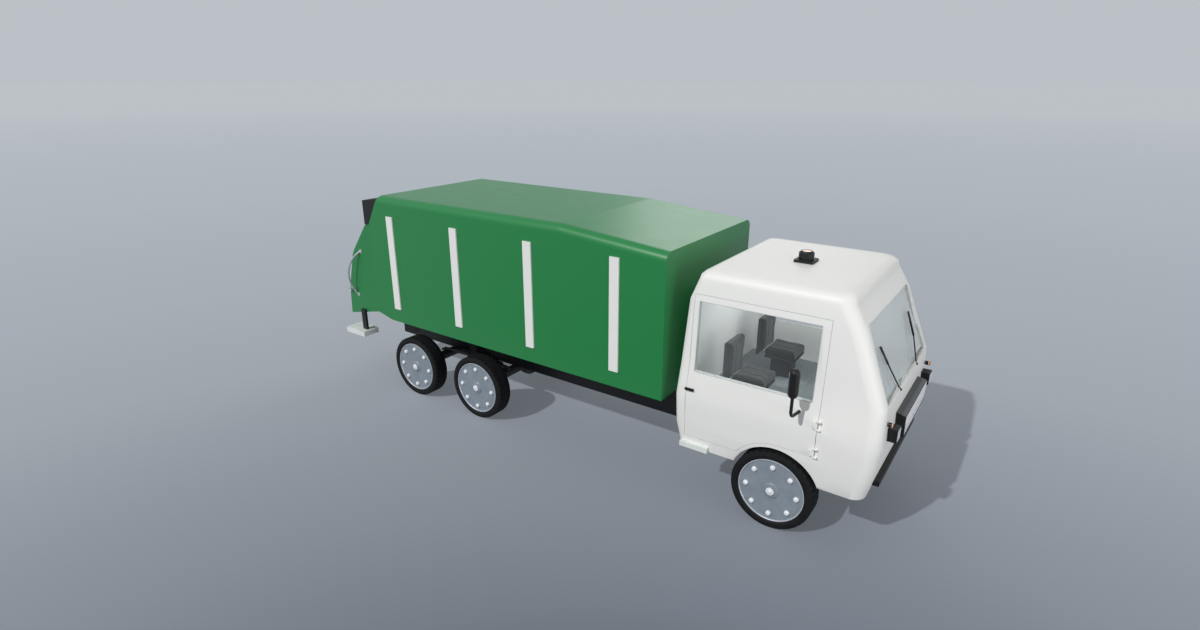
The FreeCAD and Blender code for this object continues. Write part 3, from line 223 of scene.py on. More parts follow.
# %% Drift of colour and fine relief
def per_mm(size_mm):
    """The scale of a pattern whose features are size_mm apart, on coordinates in metres."""
    return 1000.0 / size_mm


def drift(material, shader, low, high, size_mm):
    """Let the base colour wander between two colours over patches of size_mm."""
    cloud = add(material, "TexNoise", {"Scale": per_mm(size_mm), "Detail": 4.0, "Roughness": 0.55},
                {"Vector": own_place(material)})
    share = add(material, "MapRange", {"From Min": 0.35, "From Max": 0.65}, {"Value": (cloud, "Fac")})
    blend = add(material, "Mix", {"data_type": "RGBA", 6: colour(low), 7: colour(high)},
                {0: (share, "Result")})
    feed(material, blend, 2, shader, "Base Color")


def relief(material, shader, pattern, depth_mm, strength):
    """Fine relief from a node's output, or from plain grains if pattern is their spacing in mm."""
    if not isinstance(pattern, tuple):
        grains = add(material, "TexNoise", {"Scale": per_mm(pattern), "Detail": 3.0},
                     {"Vector": own_place(material)})
        pattern = (grains, "Fac")
    bump = add(material, "Bump", {"Strength": strength, "Distance": depth_mm / 1000.0},
               {"Height": pattern})
    feed(material, bump, "Normal", shader, "Normal")


def uneven_shine(material, shader, low, high, size_mm):
    """Let the roughness wander between two values, as handling and dust leave it."""
    cloud = add(material, "TexNoise", {"Scale": per_mm(size_mm), "Detail": 5.0},
                {"Vector": own_place(material)})
    share = add(material, "MapRange", {"From Min": 0.3, "From Max": 0.7, "To Min": low, "To Max": high},
                {"Value": (cloud, "Fac")})
    feed(material, share, "Result", shader, "Roughness")


def finish(name, code, settings, low, high, patch_mm, grain=None):
    """A finish whose colour drifts between two shades. grain: its relief's spacing, depth, strength."""
    material, shader = surface(name, code, settings)
    drift(material, shader, low, high, patch_mm)
    if grain:
        relief(material, shader, *grain)
    return material


FINISH = {}

# %% [markdown]
# ## Paint on the body and the cab
# A truck's paint is two-pack enamel sprayed on steel: even in colour, glossy, with the very soft waves
# called orange peel. The clear top shows as a coat over the colour. Road dust settles low on the sides,
# so the lowest part of a panel is a shade duller.

# %% Sprayed enamel
def enamel(name, code, dust, peel_mm, coat, shine):
    """Glossy sprayed enamel, with orange peel and a trace of dust that thins out with height."""
    material, shader = surface(name, code, {"Roughness": 0.34, "IOR": 1.5, "Coat Weight": coat,
                                            "Coat Roughness": 0.34, "Specular IOR Level": 0.4})
    cloud = add(material, "TexNoise", {"Scale": per_mm(420), "Detail": 6.0},
                {"Vector": own_place(material)})
    parts = add(material, "SeparateXYZ", None, {"Vector": own_place(material)})
    height = add(material, "MapRange", {"From Min": 0.6, "From Max": 1.7, "To Min": 0.34, "To Max": 0.0},
                 {"Value": (parts, "Z")})
    share = add(material, "Math", {"operation": "MULTIPLY"}, {0: (cloud, "Fac"), 1: (height, "Result")})
    blend = add(material, "Mix", {"data_type": "RGBA", 6: colour(code), 7: colour(dust)},
                {0: (share, "Value")})
    feed(material, blend, 2, shader, "Base Color")
    relief(material, shader, peel_mm, 0.15, 0.04)
    uneven_shine(material, shader, *shine, 300)
    return material


FINISH["green_paint"] = enamel("green_sprayed_enamel", "#167F3F", "#4F7A58", 9.0, 0.36, (0.36, 0.40))
FINISH["white_paint"] = enamel("white_sprayed_enamel", "#ECECE9", "#D5D3CC", 9.0, 0.06, (0.46, 0.52))

# %% [markdown]
# ## Painted steel underneath
# Rails, springs and axles carry satin chassis black, brushed or dipped on, over mill scale and castings.
# It is duller than enamel, and a film of road dust makes the flats a little paler.

# %% Chassis black, spring steel, castings
for slot_name, name, low, high, roughness, grain_mm, strength in (
        ("black_paint", "satin_chassis_black", "#0B0C0D", "#151618", 0.5, 3.0, 0.2),
        ("axle_grey", "painted_casting", "#2A2C2F", "#3B3D40", 0.6, 4.0, 0.5),
        ("spring_steel", "oiled_spring_steel", "#1B1C1F", "#33312F", 0.42, 2.0, 0.25),
        ("engine_grey", "cast_iron_block", "#3A3C3E", "#4C4D4E", 0.65, 5.0, 0.6)):
    FINISH[slot_name] = finish(name, low, {"Roughness": roughness, "IOR": 1.5}, low, high, 260,
                               (grain_mm, 0.4, strength))

# %% [markdown]
# ## Rubber
# Tyre rubber is moulded, carbon black and matt. The flanks carry fine raised rings that the mould
# leaves, drawn here by the distance from the axle, which the piece's own coordinates cannot tell, so
# each tyre stores that distance on its vertices as an attribute called radius.

# %% Tyre rubber
RING_PITCH_MM = 11.0
rubber, shader = surface("moulded_tyre_rubber", "#0D0E10",
                         {"Roughness": 0.7, "IOR": 1.52, "Specular IOR Level": 0.25})
drift(rubber, shader, "#0B0C0E", "#121315", 90)
from_axle = add(rubber, "Attribute", {"attribute_name": "radius"})
rings = add(rubber, "Math", {"operation": "MULTIPLY", 1: 2 * math.pi * per_mm(RING_PITCH_MM)},
            {0: (from_axle, "Fac")})
wave = add(rubber, "Math", {"operation": "SINE"}, {0: (rings, "Value")})
grains = add(rubber, "TexNoise", {"Scale": per_mm(3.0)}, {"Vector": own_place(rubber)})
height = add(rubber, "Math", {"operation": "MULTIPLY_ADD", 1: 0.25},
             {0: (wave, "Value"), 2: (grains, "Fac")})
relief(rubber, shader, (height, "Value"), 1.0, 0.25)
FINISH["tyre"] = rubber

# %% [markdown]
# ## Wheels, steps and bare metal
# The wheel discs are pressed steel in blue-grey enamel. The steps are checker plate: aluminium rolled
# with raised bars that cross at right angles, about 28 mm apart. The packing arm and blade are worn
# bright by refuse sliding over them, so their steel is scratched along the direction it travels.

# %% Disc enamel and satin tube
FINISH["disc"] = finish("blue_grey_wheel_enamel", "#838E98",
                        {"Roughness": 0.36, "IOR": 1.5, "Coat Weight": 0.3, "Coat Roughness": 0.15},
                        "#7E8993", "#89939D", 130, (8.0, 0.2, 0.08))
FINISH["rail_grey"] = finish("satin_steel_tube", "#BFC3CA", {"Metallic": 0.4, "Roughness": 0.38},
                             "#B6BAC2", "#C9CDD3", 60, (1.5, 0.1, 0.15))

# %% Checker plate and worn steel
PLATE_PITCH_MM = 28.0
WHITE, BLACK = (1, 1, 1, 1), (0, 0, 0, 1)
plate, shader = surface("aluminium_checker_plate", "#E2E7E4", {"Metallic": 0.05, "Roughness": 0.45})
drift(plate, shader, "#DCE2DE", "#E8ECE9", 150)
bars = []
for degrees in (45.0, -45.0):
    turned_place = add(plate, "Mapping", {"Rotation": (0, 0, math.radians(degrees)),
                                          "Scale": (per_mm(PLATE_PITCH_MM),) * 3},
                       {"Vector": own_place(plate)})
    bars.append(add(plate, "TexBrick",
                    {"Scale": 1.0, "Mortar Size": 0.36, "Mortar Smooth": 0.4, "Brick Width": 1.0,
                     "Row Height": 0.5, "Color1": WHITE, "Color2": BLACK, "Mortar": BLACK},
                    {"Vector": (turned_place, "Vector")}))
height = add(plate, "Math", {"operation": "MAXIMUM"}, {0: (bars[0], "Color"), 1: (bars[1], "Color")})
relief(plate, shader, (height, "Value"), 2.0, 0.5)
FINISH["step_grey"] = plate

worn, shader = surface("scoured_steel_plate", "#6F7172", {"Metallic": 0.85, "Roughness": 0.42})
stretched = add(worn, "Mapping", {"Scale": (per_mm(6), per_mm(6), per_mm(160))},
                {"Vector": own_place(worn)})
scratches = add(worn, "TexNoise", {"Scale": 1.0, "Detail": 6.0, "Roughness": 0.7},
                {"Vector": (stretched, "Vector")})
blend = add(worn, "Mix", {"data_type": "RGBA", 6: colour("#55504A"), 7: colour("#86888A")},
            {0: (scratches, "Fac")})
feed(worn, blend, 2, shader, "Base Color")
relief(worn, shader, (scratches, "Fac"), 0.6, 0.3)
FINISH["blade_steel"] = worn

# %% [markdown]
# ## Glass and plastics
# Cab glass is flat, faintly green, glossy and partly see-through. Its pale colour is both the glass's tint and
# a painted reflection of the pale air: it covers more of the pane towards grazing angles, where glass reflects
# more, and face-on it keeps the room behind it visible. The trim is moulded plastic with a fine leather-like
# grain, black outside and grey inside.

# %% Cab glass
# the pale base colour, more opaque at grazing angles, is the glass's tint with a painted reflection of the air
glass, shader = surface("tinted_cab_glass", "#D6DEE1", {"Roughness": 0.08, "IOR": 1.5})
grazing = add(glass, "LayerWeight", {"Blend": 0.35})
painted_reflection_share = add(glass, "MapRange", {"From Min": 0.07, "From Max": 0.80, "To Min": 0.03, "To Max": 0.88},
             {"Value": (grazing, "Facing")})
feed(glass, painted_reflection_share, "Result", shader, "Alpha")
relief(glass, shader, 900.0, 1.0, 0.02)
FINISH["glass"] = glass

# %% Moulded plastics
for slot_name, name, low, high, roughness, grain_mm, strength in (
        ("black_plastic", "black_grained_plastic", "#08090A", "#0F1011", 0.5, 2.2, 0.3),
        ("interior_grey", "grey_moulded_trim", "#6D7577", "#7B8385", 0.62, 2.5, 0.35),
        ("charcoal", "charcoal_seat_base", "#1D2023", "#272A2D", 0.7, 2.0, 0.3)):
    FINISH[slot_name] = finish(name, low, {"Roughness": roughness, "IOR": 1.46}, low, high, 45,
                               (grain_mm, 0.3, strength))
# zinc-rich paint on wire and nuts: pale, faintly metallic
FINISH["wire"] = finish("silver_painted_wire", "#EEF0F4", {"Metallic": 0.1, "Roughness": 0.35},
                        "#E6E8ED", "#F4F5F8", 20, (3.0, 0.1, 0.1))

for row in frame["record"]["subparts"]:
    for slot in frame["nodes"][row["node"]].material_slots:
        slot.material = FINISH[row["material_slot"]]

# %% The grille's painted top light
# The grille's flat top is painted paler grey than its upright ends: painted light from above, set by which way
# each face points.
top_lit_black, shader = surface("dusty_black_moulding", "#0B0C0D", {"Roughness": 0.6, "IOR": 1.46})
geometry = add(top_lit_black, "NewGeometry")
tilt = add(top_lit_black, "SeparateXYZ", None, {"Vector": (geometry, "Normal")})
painted_top_light = add(top_lit_black, "MapRange", {"From Min": 0.6, "From Max": 0.9}, {"Value": (tilt, "Z")})
coat = add(top_lit_black, "Mix", {"data_type": "RGBA", 6: colour("#0B0C0D"), 7: colour("#55585A")},
           {0: (painted_top_light, "Result")})
feed(top_lit_black, coat, 2, shader, "Base Color")
relief(top_lit_black, shader, 2.2, 0.3, 0.3)
frame["nodes"]["grille"].material_slots[0].material = top_lit_black
print("finishes on the frame:", len(FINISH))

# %% [markdown]
# ## How the new pieces are modelled
# Each small piece starts from a primitive at its real place and is shaped in edit mode. A few helpers
# do what a hand does between those steps: let go of everything, pick faces by where they are, and put
# the finished mesh in its place with its material, riding on its body.

# %% Helpers for modelling
MERGE = 2e-5  # metres: closer corners of a CAD mesh become one
MIRROR_Y = Matrix.Scale(-1, 4, (0, 1, 0))


def let_go():
    """Leave edit mode and deselect everything."""
    if bpy.context.mode != "OBJECT":
        bpy.ops.object.mode_set(mode="OBJECT")
    bpy.ops.object.select_all(action="DESELECT")


def take(piece):
    """Select one piece alone and make it the active one."""
    let_go()
    piece.select_set(True)
    bpy.context.view_layer.objects.active = piece


def pick_all():
    """In edit mode, pick everything."""
    bpy.ops.mesh.select_all(action="SELECT")


def open_new(name):
    """Name the primitive just added, fix its place in its mesh and open it with nothing picked."""
    piece = bpy.context.object
    piece.name = piece.data.name = name
    bpy.ops.object.transform_apply(location=True, rotation=True, scale=True)
    bpy.ops.object.mode_set(mode="EDIT")
    bpy.ops.mesh.select_all(action="DESELECT")
    return piece


def pick(piece, test):
    """In edit mode, pick the faces whose centre and normal pass a test; returns how many."""
    bpy.ops.mesh.select_mode(type="FACE")
    bpy.ops.mesh.select_all(action="DESELECT")
    mesh = bmesh.from_edit_mesh(piece.data)
    count = 0
    for face in mesh.faces:
        if test(face.calc_center_median(), face.normal):
            face.select_set(True)
            count += 1
    mesh.select_flush_mode()
    bmesh.update_edit_mesh(piece.data)
    return count


def facing(axis, limit):
    """A test for faces whose normal goes beyond a limit along x, y or z, given as 0, 1 or 2."""
    return lambda centre, normal: normal[axis] / limit > 1


def step_in(piece, test, inset, move):
    """Inset the faces that pass a test, or those already picked, and move them."""
    if test:
        pick(piece, test)
    bpy.ops.mesh.inset(thickness=inset)
    bpy.ops.transform.translate(value=move)


def close_up(piece, body, finish_name, smooth):
    """Leave edit mode, shade the piece, give it its finish and let it ride on its body."""
    take(piece)
    bpy.ops.object.shade_smooth_by_angle(angle=math.radians(smooth))
    piece.data.materials.clear()
    piece.data.materials.append(FINISH[finish_name])
    piece.select_set(False)
    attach(piece, body)
    return piece


def middle_of(node):
    """The middle of a CAD node's box."""
    return sum(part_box(node), Vector()) / 2


def own_copy(piece, name):
    """A copy with its own mesh, tied to no parent."""
    twin = piece.copy()
    twin.data = piece.data.copy()
    twin.name = twin.data.name = name
    twin.parent = None
    twin.matrix_world = Matrix.Identity(4)
    bpy.context.scene.collection.objects.link(twin)
    return twin


def cad_copy(node, name):
    """A merged copy of a CAD node, open in edit mode."""
    piece = own_copy(frame["nodes"][node], name)
    piece.hide_render = piece.hide_viewport = False
    take(piece)
    bpy.ops.object.mode_set(mode="EDIT")
    pick_all()
    bpy.ops.mesh.remove_doubles(threshold=MERGE)
    return piece


def copy_to(piece, name, body, move):
    """A copy moved by a matrix, riding on a body."""
    twin = own_copy(piece, name)
    twin.data.transform(move)
    if move.determinant() < 0:
        twin.data.flip_normals()
    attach(twin, body)
    return twin


def mirrored(piece, body):
    """The same piece on the truck's other side."""
    side, other = ("left", "right") if "left" in piece.name else ("right", "left")
    return copy_to(piece, piece.name.replace(side, other), body, MIRROR_Y)


def spread(first, places, name, body, finish_name, smooth):
    """Copy a piece to places, given as offsets, and join the copies into one."""
    pieces = []
    for offset in places:
        pieces.append(own_copy(first, name))
        pieces[-1].data.transform(Matrix.Translation(offset))
    bpy.data.objects.remove(first)
    return close_up(join(pieces, name), body, finish_name, smooth)


def modify(piece, kind, settings):
    """Add a modifier and apply it at once."""
    take(piece)
    modifier = piece.modifiers.new(kind.lower(), kind)
    for key, value in settings.items():
        setattr(modifier, key, value)
    bpy.ops.object.modifier_apply(modifier=modifier.name)


def in_a_row(piece, count, step):
    """Repeat a piece in a straight row."""
    modify(piece, "ARRAY", {"fit_type": "FIXED_COUNT", "count": count, "use_relative_offset": False,
                            "use_constant_offset": True, "constant_offset_displace": step})


def block(name, low, high, edge=0.0, segments=2):
    """A box between two corners with its edges rounded; it stays open in edit mode."""
    let_go()
    low, high = Vector(low), Vector(high)
    bpy.ops.mesh.primitive_cube_add(size=1, location=(low + high) / 2, scale=high - low)
    piece = open_new(name)
    if edge:
        pick_all()
        bpy.ops.mesh.bevel(offset=edge, segments=segments, affect="EDGES")
    return piece


def merge_all():
    """In edit mode, close the seams that spinning leaves and turn every face outwards."""
    pick_all()
    bpy.ops.mesh.remove_doubles(threshold=1e-5)
    bpy.ops.mesh.normals_make_consistent(inside=False)


def turned(name, profile, centre, axis, steps):
    """A lathe: a point is extruded along rows of (radius, along) and spun round the axis."""
    let_go()
    centre, axis = Vector(centre), Vector(axis)
    out = axis.orthogonal().normalized()
    place = [centre + out * radius + axis * along for radius, along in profile]
    bpy.ops.mesh.primitive_plane_add(size=0.001, location=place[0])
    piece = open_new(name)
    pick_all()
    bpy.ops.mesh.merge(type="CENTER")
    bpy.ops.mesh.select_mode(type="VERT")
    pick_all()
    for start, stop in zip(place, place[1:]):
        bpy.ops.mesh.extrude_region_move(TRANSFORM_OT_translate={"value": stop - start})
    pick_all()
    bpy.ops.mesh.spin(steps=steps, angle=2 * math.pi, center=centre, axis=axis)
    merge_all()
    return piece


def join(pieces, name):
    """Join pieces into the first one."""
    let_go()
    for piece in pieces:
        piece.select_set(True)
    bpy.context.view_layer.objects.active = pieces[0]
    bpy.ops.object.join()
    whole = bpy.context.object
    whole.name = whole.data.name = name
    return whole


# %% [markdown]
# ## Tyres
# A truck tyre has a flat flank with raised rings, a squared shoulder and a tread of straight ribs, with
# short cross cuts that let the outer ribs grip. The section is extruded point by point and spun into a
# ring. Cross cuts are faces of the outer ribs pushed in. One tyre is made and copied to each wheel.

# %% Model one tyre and copy it
TYRE_STEPS, CUT_EVERY, CUT_DEPTH = 120, 3, 0.008
GROOVE, GROOVE_DEPTH, GROOVES_AT = 0.010, 0.011, (-0.060, -0.020, 0.020, 0.060)
BEAD_R, OUTER_RIB_AT = 0.402, 0.066
low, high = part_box("tyre_front_right")
hub = (low + high) / 2
TYRE_R, TYRE_HALF = (high.z - low.z) / 2, (high.y - low.y) / 2
section = [(BEAD_R, -TYRE_HALF + 0.018), (BEAD_R + 0.020, -TYRE_HALF), (TYRE_R - 0.060, -TYRE_HALF),
           (TYRE_R - 0.057, -TYRE_HALF - 0.002), (TYRE_R - 0.048, -TYRE_HALF - 0.002),
           (TYRE_R - 0.045, -TYRE_HALF), (TYRE_R - 0.018, -TYRE_HALF), (TYRE_R - 0.006, -TYRE_HALF + 0.004),
           (TYRE_R, -TYRE_HALF + 0.014)]
flank = list(section)
for middle in GROOVES_AT:
    section += [(TYRE_R, middle - GROOVE / 2), (TYRE_R - GROOVE_DEPTH, middle - GROOVE / 2 + 0.002),
                (TYRE_R - GROOVE_DEPTH, middle + GROOVE / 2 - 0.002), (TYRE_R, middle + GROOVE / 2)]
section += [(radius, -along) for radius, along in reversed(flank)] + [section[0]]
tyre = turned("tyre_tread_front_right", section, hub, (0, 1, 0), TYRE_STEPS)


def in_cross_cut(centre, normal):
    """Whether a face lies on an outer rib, at every third step round the tyre."""
    from_hub = centre - hub
    step = math.floor(math.atan2(from_hub.z, from_hub.x) / (2 * math.pi / TYRE_STEPS))
    on_tread = math.hypot(from_hub.x, from_hub.z) > TYRE_R - 0.010
    return on_tread and abs(from_hub.y) > OUTER_RIB_AT and step % CUT_EVERY == 0


cuts = pick(tyre, in_cross_cut)
bpy.ops.mesh.extrude_region_shrink_fatten(TRANSFORM_OT_shrink_fatten={"value": -CUT_DEPTH})
close_up(tyre, "wheel_front_right", "tyre", 40)
radii = tyre.data.attributes.new("radius", "FLOAT", "POINT")
for vertex, radius in zip(tyre.data.vertices, radii.data):
    radius.value = math.hypot(vertex.co.x - hub.x, vertex.co.z - hub.z)
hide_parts("tyre_front_right")


def to_each_wheel(piece, stem, replaced=None):
    """Copy a piece of the front right wheel to the other five, turned round for the left side."""
    for axle in AXLES:
        for side in SIDES:
            name = "%s_%s" % (axle, side)
            if name == "front_right":
                continue
            half_turn = Matrix.Rotation(math.pi * (side == "left"), 4, "Z")
            move = (Matrix.Translation(middle_of("rim_" + name)) @ half_turn
                    @ Matrix.Translation(-middle_of("rim_front_right")))
            twin = copy_to(piece, stem + "_" + name, "wheel_" + name, move)
            if replaced:
                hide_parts(replaced + "_" + name)


to_each_wheel(tyre, "tyre_tread", "tyre")
print("tyre faces:", len(tyre.data.polygons), "cross cuts:", cuts)

# %% [markdown]
# ## Wheel nuts and hub
# Eight nuts hold the disc, each a skirt under silver paint that narrows to a dome. One nut is shaped
# from a cylinder by insetting and lifting its end, then repeated round the wheel. The rim's lip, the
# hub's cap and the boss on it are turned from rows of points.

# %% Nuts, rim lip and hub cap
NUT_COUNT, NUT_CIRCLE, NUT_R, NUT_H = 8, 0.309, 0.031, 0.018
# inset and lift of each step from skirt to dome
NUT_STEPS = ((0.004, 0.006), (0.005, 0.004), (0.006, 0.002))
# radius and height over the disc, negative outwards
LIP = [(0.4015, 0.010), (0.4015, -0.011), (0.398, -0.013), (0.392, -0.013), (0.388, -0.010),
       (0.385, 0.0005), (0.4015, 0.010)]
CAP = [(0.0, -0.018), (0.060, -0.018), (0.084, -0.016), (0.092, -0.011), (0.094, 0.0005), (0.0, 0.0005)]
HUB_BOSS = [(0.0, -0.046), (0.016, -0.045), (0.026, -0.040), (0.028, -0.034), (0.044, -0.033),
            (0.054, -0.027), (0.058, -0.016), (0.0, -0.016)]
face_y = hub.y - TYRE_HALF + 0.016
nut_at = Vector((hub.x + NUT_CIRCLE, face_y - NUT_H / 2, hub.z))
let_go()
bpy.ops.mesh.primitive_cylinder_add(vertices=12, radius=NUT_R, depth=NUT_H, location=nut_at,
                                    rotation=(math.pi / 2, 0, 0))
nut = open_new("wheel_nuts_front_right")
for inset, lift in NUT_STEPS:
    step_in(nut, facing(1, -0.95), inset, (0, -lift, 0))
let_go()
nuts = [nut] + [own_copy(nut, "nut_%d" % k) for k in range(1, NUT_COUNT)]
for k, each in enumerate(nuts):
    turn = Matrix.Rotation(2 * math.pi * k / NUT_COUNT, 4, "Y")
    each.data.transform(Matrix.Translation(hub) @ turn @ Matrix.Translation(-hub))
nuts = close_up(join(nuts, "wheel_nuts_front_right"), "wheel_front_right", "wire", 50)
to_each_wheel(nuts, "wheel_nuts")
for stem, profile, steps, finish_name, smooth in (("rim_lip", LIP, 96, "rail_grey", 40),
                                                  ("hub_cap", CAP, 64, "disc", 35),
                                                  ("hub_boss", HUB_BOSS, 64, "wire", 35)):
    ring = turned(stem + "_front_right", profile, (hub.x, face_y, hub.z), (0, 1, 0), steps)
    to_each_wheel(close_up(ring, "wheel_front_right", finish_name, smooth), stem)
print("wheel face at", round(face_y, 4))

# %% [markdown]
# ## Lamps and grille
# The grille is a box with a bright wire cloth across its mouth, which shines white against the dark
# slots behind. The headlamps are black boxes with a bowl behind flat glass. The turn lamps and the
# beacon are amber lenses. Each lens is an inset and bulged face of a plain block or a turned dome.

# %% Lens finishes
# A wave pattern of scale 1 has 20 bands in 2 * pi metres. Real flutes are a few millimetres apart and
# too fine to show, so they are drawn as coarse as this.
WAVES_PER_METRE = 20 / (2 * math.pi)
FLUTE_MM = 56.55


def lens_finish(name, code, edge, glow):
    """Fluted clear plastic in a colour."""
    material, shader = surface(name, code, {"Roughness": 0.12, "IOR": 1.49, "Coat Weight": 0.6,
                                            "Coat Roughness": 0.05, "Emission Color": colour(code),
                                            "Emission Strength": glow})
    flutes = add(material, "TexWave", {"Scale": per_mm(FLUTE_MM) / WAVES_PER_METRE, "bands_direction": "Y"},
                 {"Vector": own_place(material)})
    relief(material, shader, (flutes, "Fac"), 1.0, 0.4)
    drift(material, shader, code, edge, 30)
    return material


FINISH["clear_lens"] = lens_finish("clear_ribbed_lens", "#C9CDD6", "#DADDE3", 0.08)
FINISH["amber_lens"] = lens_finish("amber_ribbed_lens", "#E3A876", "#D99A66", 0.12)
FINISH["red_lens"] = lens_finish("red_ribbed_lens", "#A81E1A", "#8E1613", 0.10)

# %% Headlamp glass and turn lamps
def lens_block(name, low, high, axis, out, finish_name, body):
    """A flat lens with a rounded rim whose outer face is inset and bulged along an axis."""
    piece = block(name, low, high, 0.004)
    outward = Vector([out * (k == axis) for k in range(3)])
    step_in(piece, lambda centre, normal: normal[axis] * out > 0.99, 0.010, outward * -0.003)
    step_in(piece, None, 0.006, outward * 0.002)
    return close_up(piece, body, finish_name, 30)


LAMP_W, LAMP_RIM, LENS_T = 0.150, 0.012, 0.006
low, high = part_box("headlamps")
for side, sign in SIDES.items():
    y0, y1 = sorted((sign * (high.y - LAMP_RIM), sign * (high.y - LAMP_W + LAMP_RIM)))
    lens_block("headlamp_glass_" + side, (high.x - 0.001, y0, low.z + LAMP_RIM),
               (high.x + LENS_T, y1, high.z - LAMP_RIM), 0, 1, "clear_lens", "cab")
TURN_R, TURN_LEN, TURN_IN = 0.0265, 0.036, 0.026
TURN_DOME = [(0.0, TURN_LEN), (0.010, TURN_LEN - 0.0005), (0.019, TURN_LEN - 0.002),
             (TURN_R - 0.001, TURN_LEN - 0.005), (TURN_R, TURN_LEN - 0.008), (TURN_R, TURN_LEN - 0.018),
             (0.0, TURN_LEN - 0.018)]
low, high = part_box("indicators")
for side, sign in SIDES.items():
    middle = (high.x - TURN_LEN, sign * (high.y - TURN_IN), (low.z + high.z) / 2)
    close_up(turned("turn_lamp_lens_" + side, TURN_DOME, middle, (1, 0, 0), 32), "cab", "amber_lens", 40)
print("lenses at x", round(high.x, 3))

# %% Beacon lens
low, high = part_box("beacon")
BEACON_R, BEACON_H = 0.0845, 0.0455
BEACON_DOME = [(0.0, BEACON_H), (0.050, BEACON_H), (0.066, 0.043), (0.073, 0.037),
               (BEACON_R - 0.003, 0.004), (BEACON_R, 0.0005), (0.0, 0.0005)]
middle = ((low.x + high.x) / 2, 0, high.z - 0.045)
close_up(turned("beacon_lens", BEACON_DOME, middle, (0, 0, 1), 48), "cab", "amber_lens", 40)
print("beacon top", round(high.z, 3))

# %% Wire cloth across the grille
WIRE, WIRE_PITCH_Y, WIRE_PITCH_Z = 0.0100, 0.030, 0.016
MARGIN, GRILLE_TOP = 0.020, 0.026  # the cloth's distance from the mouth's rim, and the rim's top bar
low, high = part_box("grille")
cloth_x = high.x - 0.0002
y_half, z0, z1 = high.y - MARGIN, low.z + MARGIN, high.z - GRILLE_TOP - MARGIN
rows, columns = int((z1 - z0) / WIRE_PITCH_Z), int(2 * y_half / WIRE_PITCH_Y)
bar = block("grille_cloth", (cloth_x - WIRE, -y_half, z0), (cloth_x, y_half, z0 + WIRE), WIRE * 0.3, 1)
post = block("grille_post", (cloth_x - WIRE * 0.8, -y_half, z0),
             (cloth_x - 0.0004, -y_half + WIRE * 1.2, z1 + WIRE), WIRE * 0.2, 1)
in_a_row(bar, rows + 1, (0, 0, (z1 - z0) / rows))
in_a_row(post, columns + 1, (0, 2 * y_half / columns, 0))
close_up(join([bar, post], "grille_cloth"), "cab", "wire", 30)
print("wires:", rows, "by", columns)

# %% [markdown]
# ## Seats
# Each seat is a foam cushion and a backrest in charcoal cloth on a moulded base. A foam block swells
# between its edges: its cover is a little too tight, so the edges pull in and the middle stands proud.
# Cloth simulation gives that shape. The block is remeshed into small even faces, blown up for twenty
# frames with an inner pressure, kept within two centimetres, and its result is applied.

# %% Seat cloth
# Thread is about half a millimetre apart. That is too fine to show, so the weave is drawn this coarse.
WEAVE_MM = 25.13
seat_cloth, shader = surface("charcoal_woven_seat_cloth", "#0C0D0F",
                             {"Roughness": 0.88, "IOR": 1.46, "Sheen Weight": 0.25})
drift(seat_cloth, shader, "#0A0B0D", "#111315", 35)
threads = [add(seat_cloth, "TexWave",
               {"bands_direction": way, "Scale": per_mm(WEAVE_MM) / WAVES_PER_METRE, "Distortion": 0.6},
               {"Vector": own_place(seat_cloth)}) for way in ("Y", "Z")]
weave = add(seat_cloth, "Math", {"operation": "MULTIPLY"},
            {0: (threads[0], "Fac"), 1: (threads[1], "Fac")})
relief(seat_cloth, shader, (weave, "Value"), 1.0, 0.35)
FINISH["seat_cloth"] = seat_cloth

# %% Blow up a block into a pad
PAD_VOXEL, PAD_FRAMES, PAD_PRESSURE, PAD_RISE = 0.009, 20, 4.0, 0.020


def pad(name, low, high):
    """A stuffed block between two corners, with crowned faces."""
    piece = block(name, low, high, 0.022, 3)
    modify(piece, "REMESH", {"mode": "VOXEL", "voxel_size": PAD_VOXEL})
    before = [vertex.co.copy() for vertex in piece.data.vertices]
    take(piece)
    cloth = piece.modifiers.new("cloth", "CLOTH")
    cloth.settings.use_pressure = True
    cloth.settings.uniform_pressure_force = PAD_PRESSURE
    cloth.settings.effector_weights.gravity = 0.0
    for frame_number in range(1, PAD_FRAMES + 1):
        bpy.context.scene.frame_set(frame_number)
    bpy.ops.object.modifier_apply(modifier=cloth.name)
    bpy.context.scene.frame_set(1)
    for vertex, start in zip(piece.data.vertices, before):
        step = vertex.co - start
        if step.length > PAD_RISE:
            vertex.co = start + step.normalized() * PAD_RISE
    modify(piece, "SMOOTH", {"factor": 0.5, "iterations": 4})
    return piece


SEAT_W, BACK_T, PAD_CLEAR = 0.480, 0.090, 0.012
CUSHION_UNDER, CUSHION_OVER = 0.540, 0.430  # below the backrest's top
low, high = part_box("seats")
SEAT_TOP, SEAT_X0, SEAT_X1 = high.z, low.x, high.x
SEAT_Y0, SEAT_Y1 = high.y - SEAT_W, high.y
CUSHION_Z0, CUSHION_Z1 = SEAT_TOP - CUSHION_UNDER, SEAT_TOP - CUSHION_OVER
cushion = pad("seat_cushion_left", (SEAT_X0 + BACK_T + 0.020, SEAT_Y0 + PAD_CLEAR, CUSHION_Z0 + 0.006),
              (SEAT_X1 - PAD_CLEAR, SEAT_Y1 - PAD_CLEAR, CUSHION_Z1 - 0.008))
backrest = pad("seat_back_left", (SEAT_X0 + 0.018, SEAT_Y0 + PAD_CLEAR, CUSHION_Z0 + 0.020),
               (SEAT_X0 + BACK_T, SEAT_Y1 - PAD_CLEAR, SEAT_TOP - PAD_CLEAR))
print("cushion faces:", len(cushion.data.polygons))

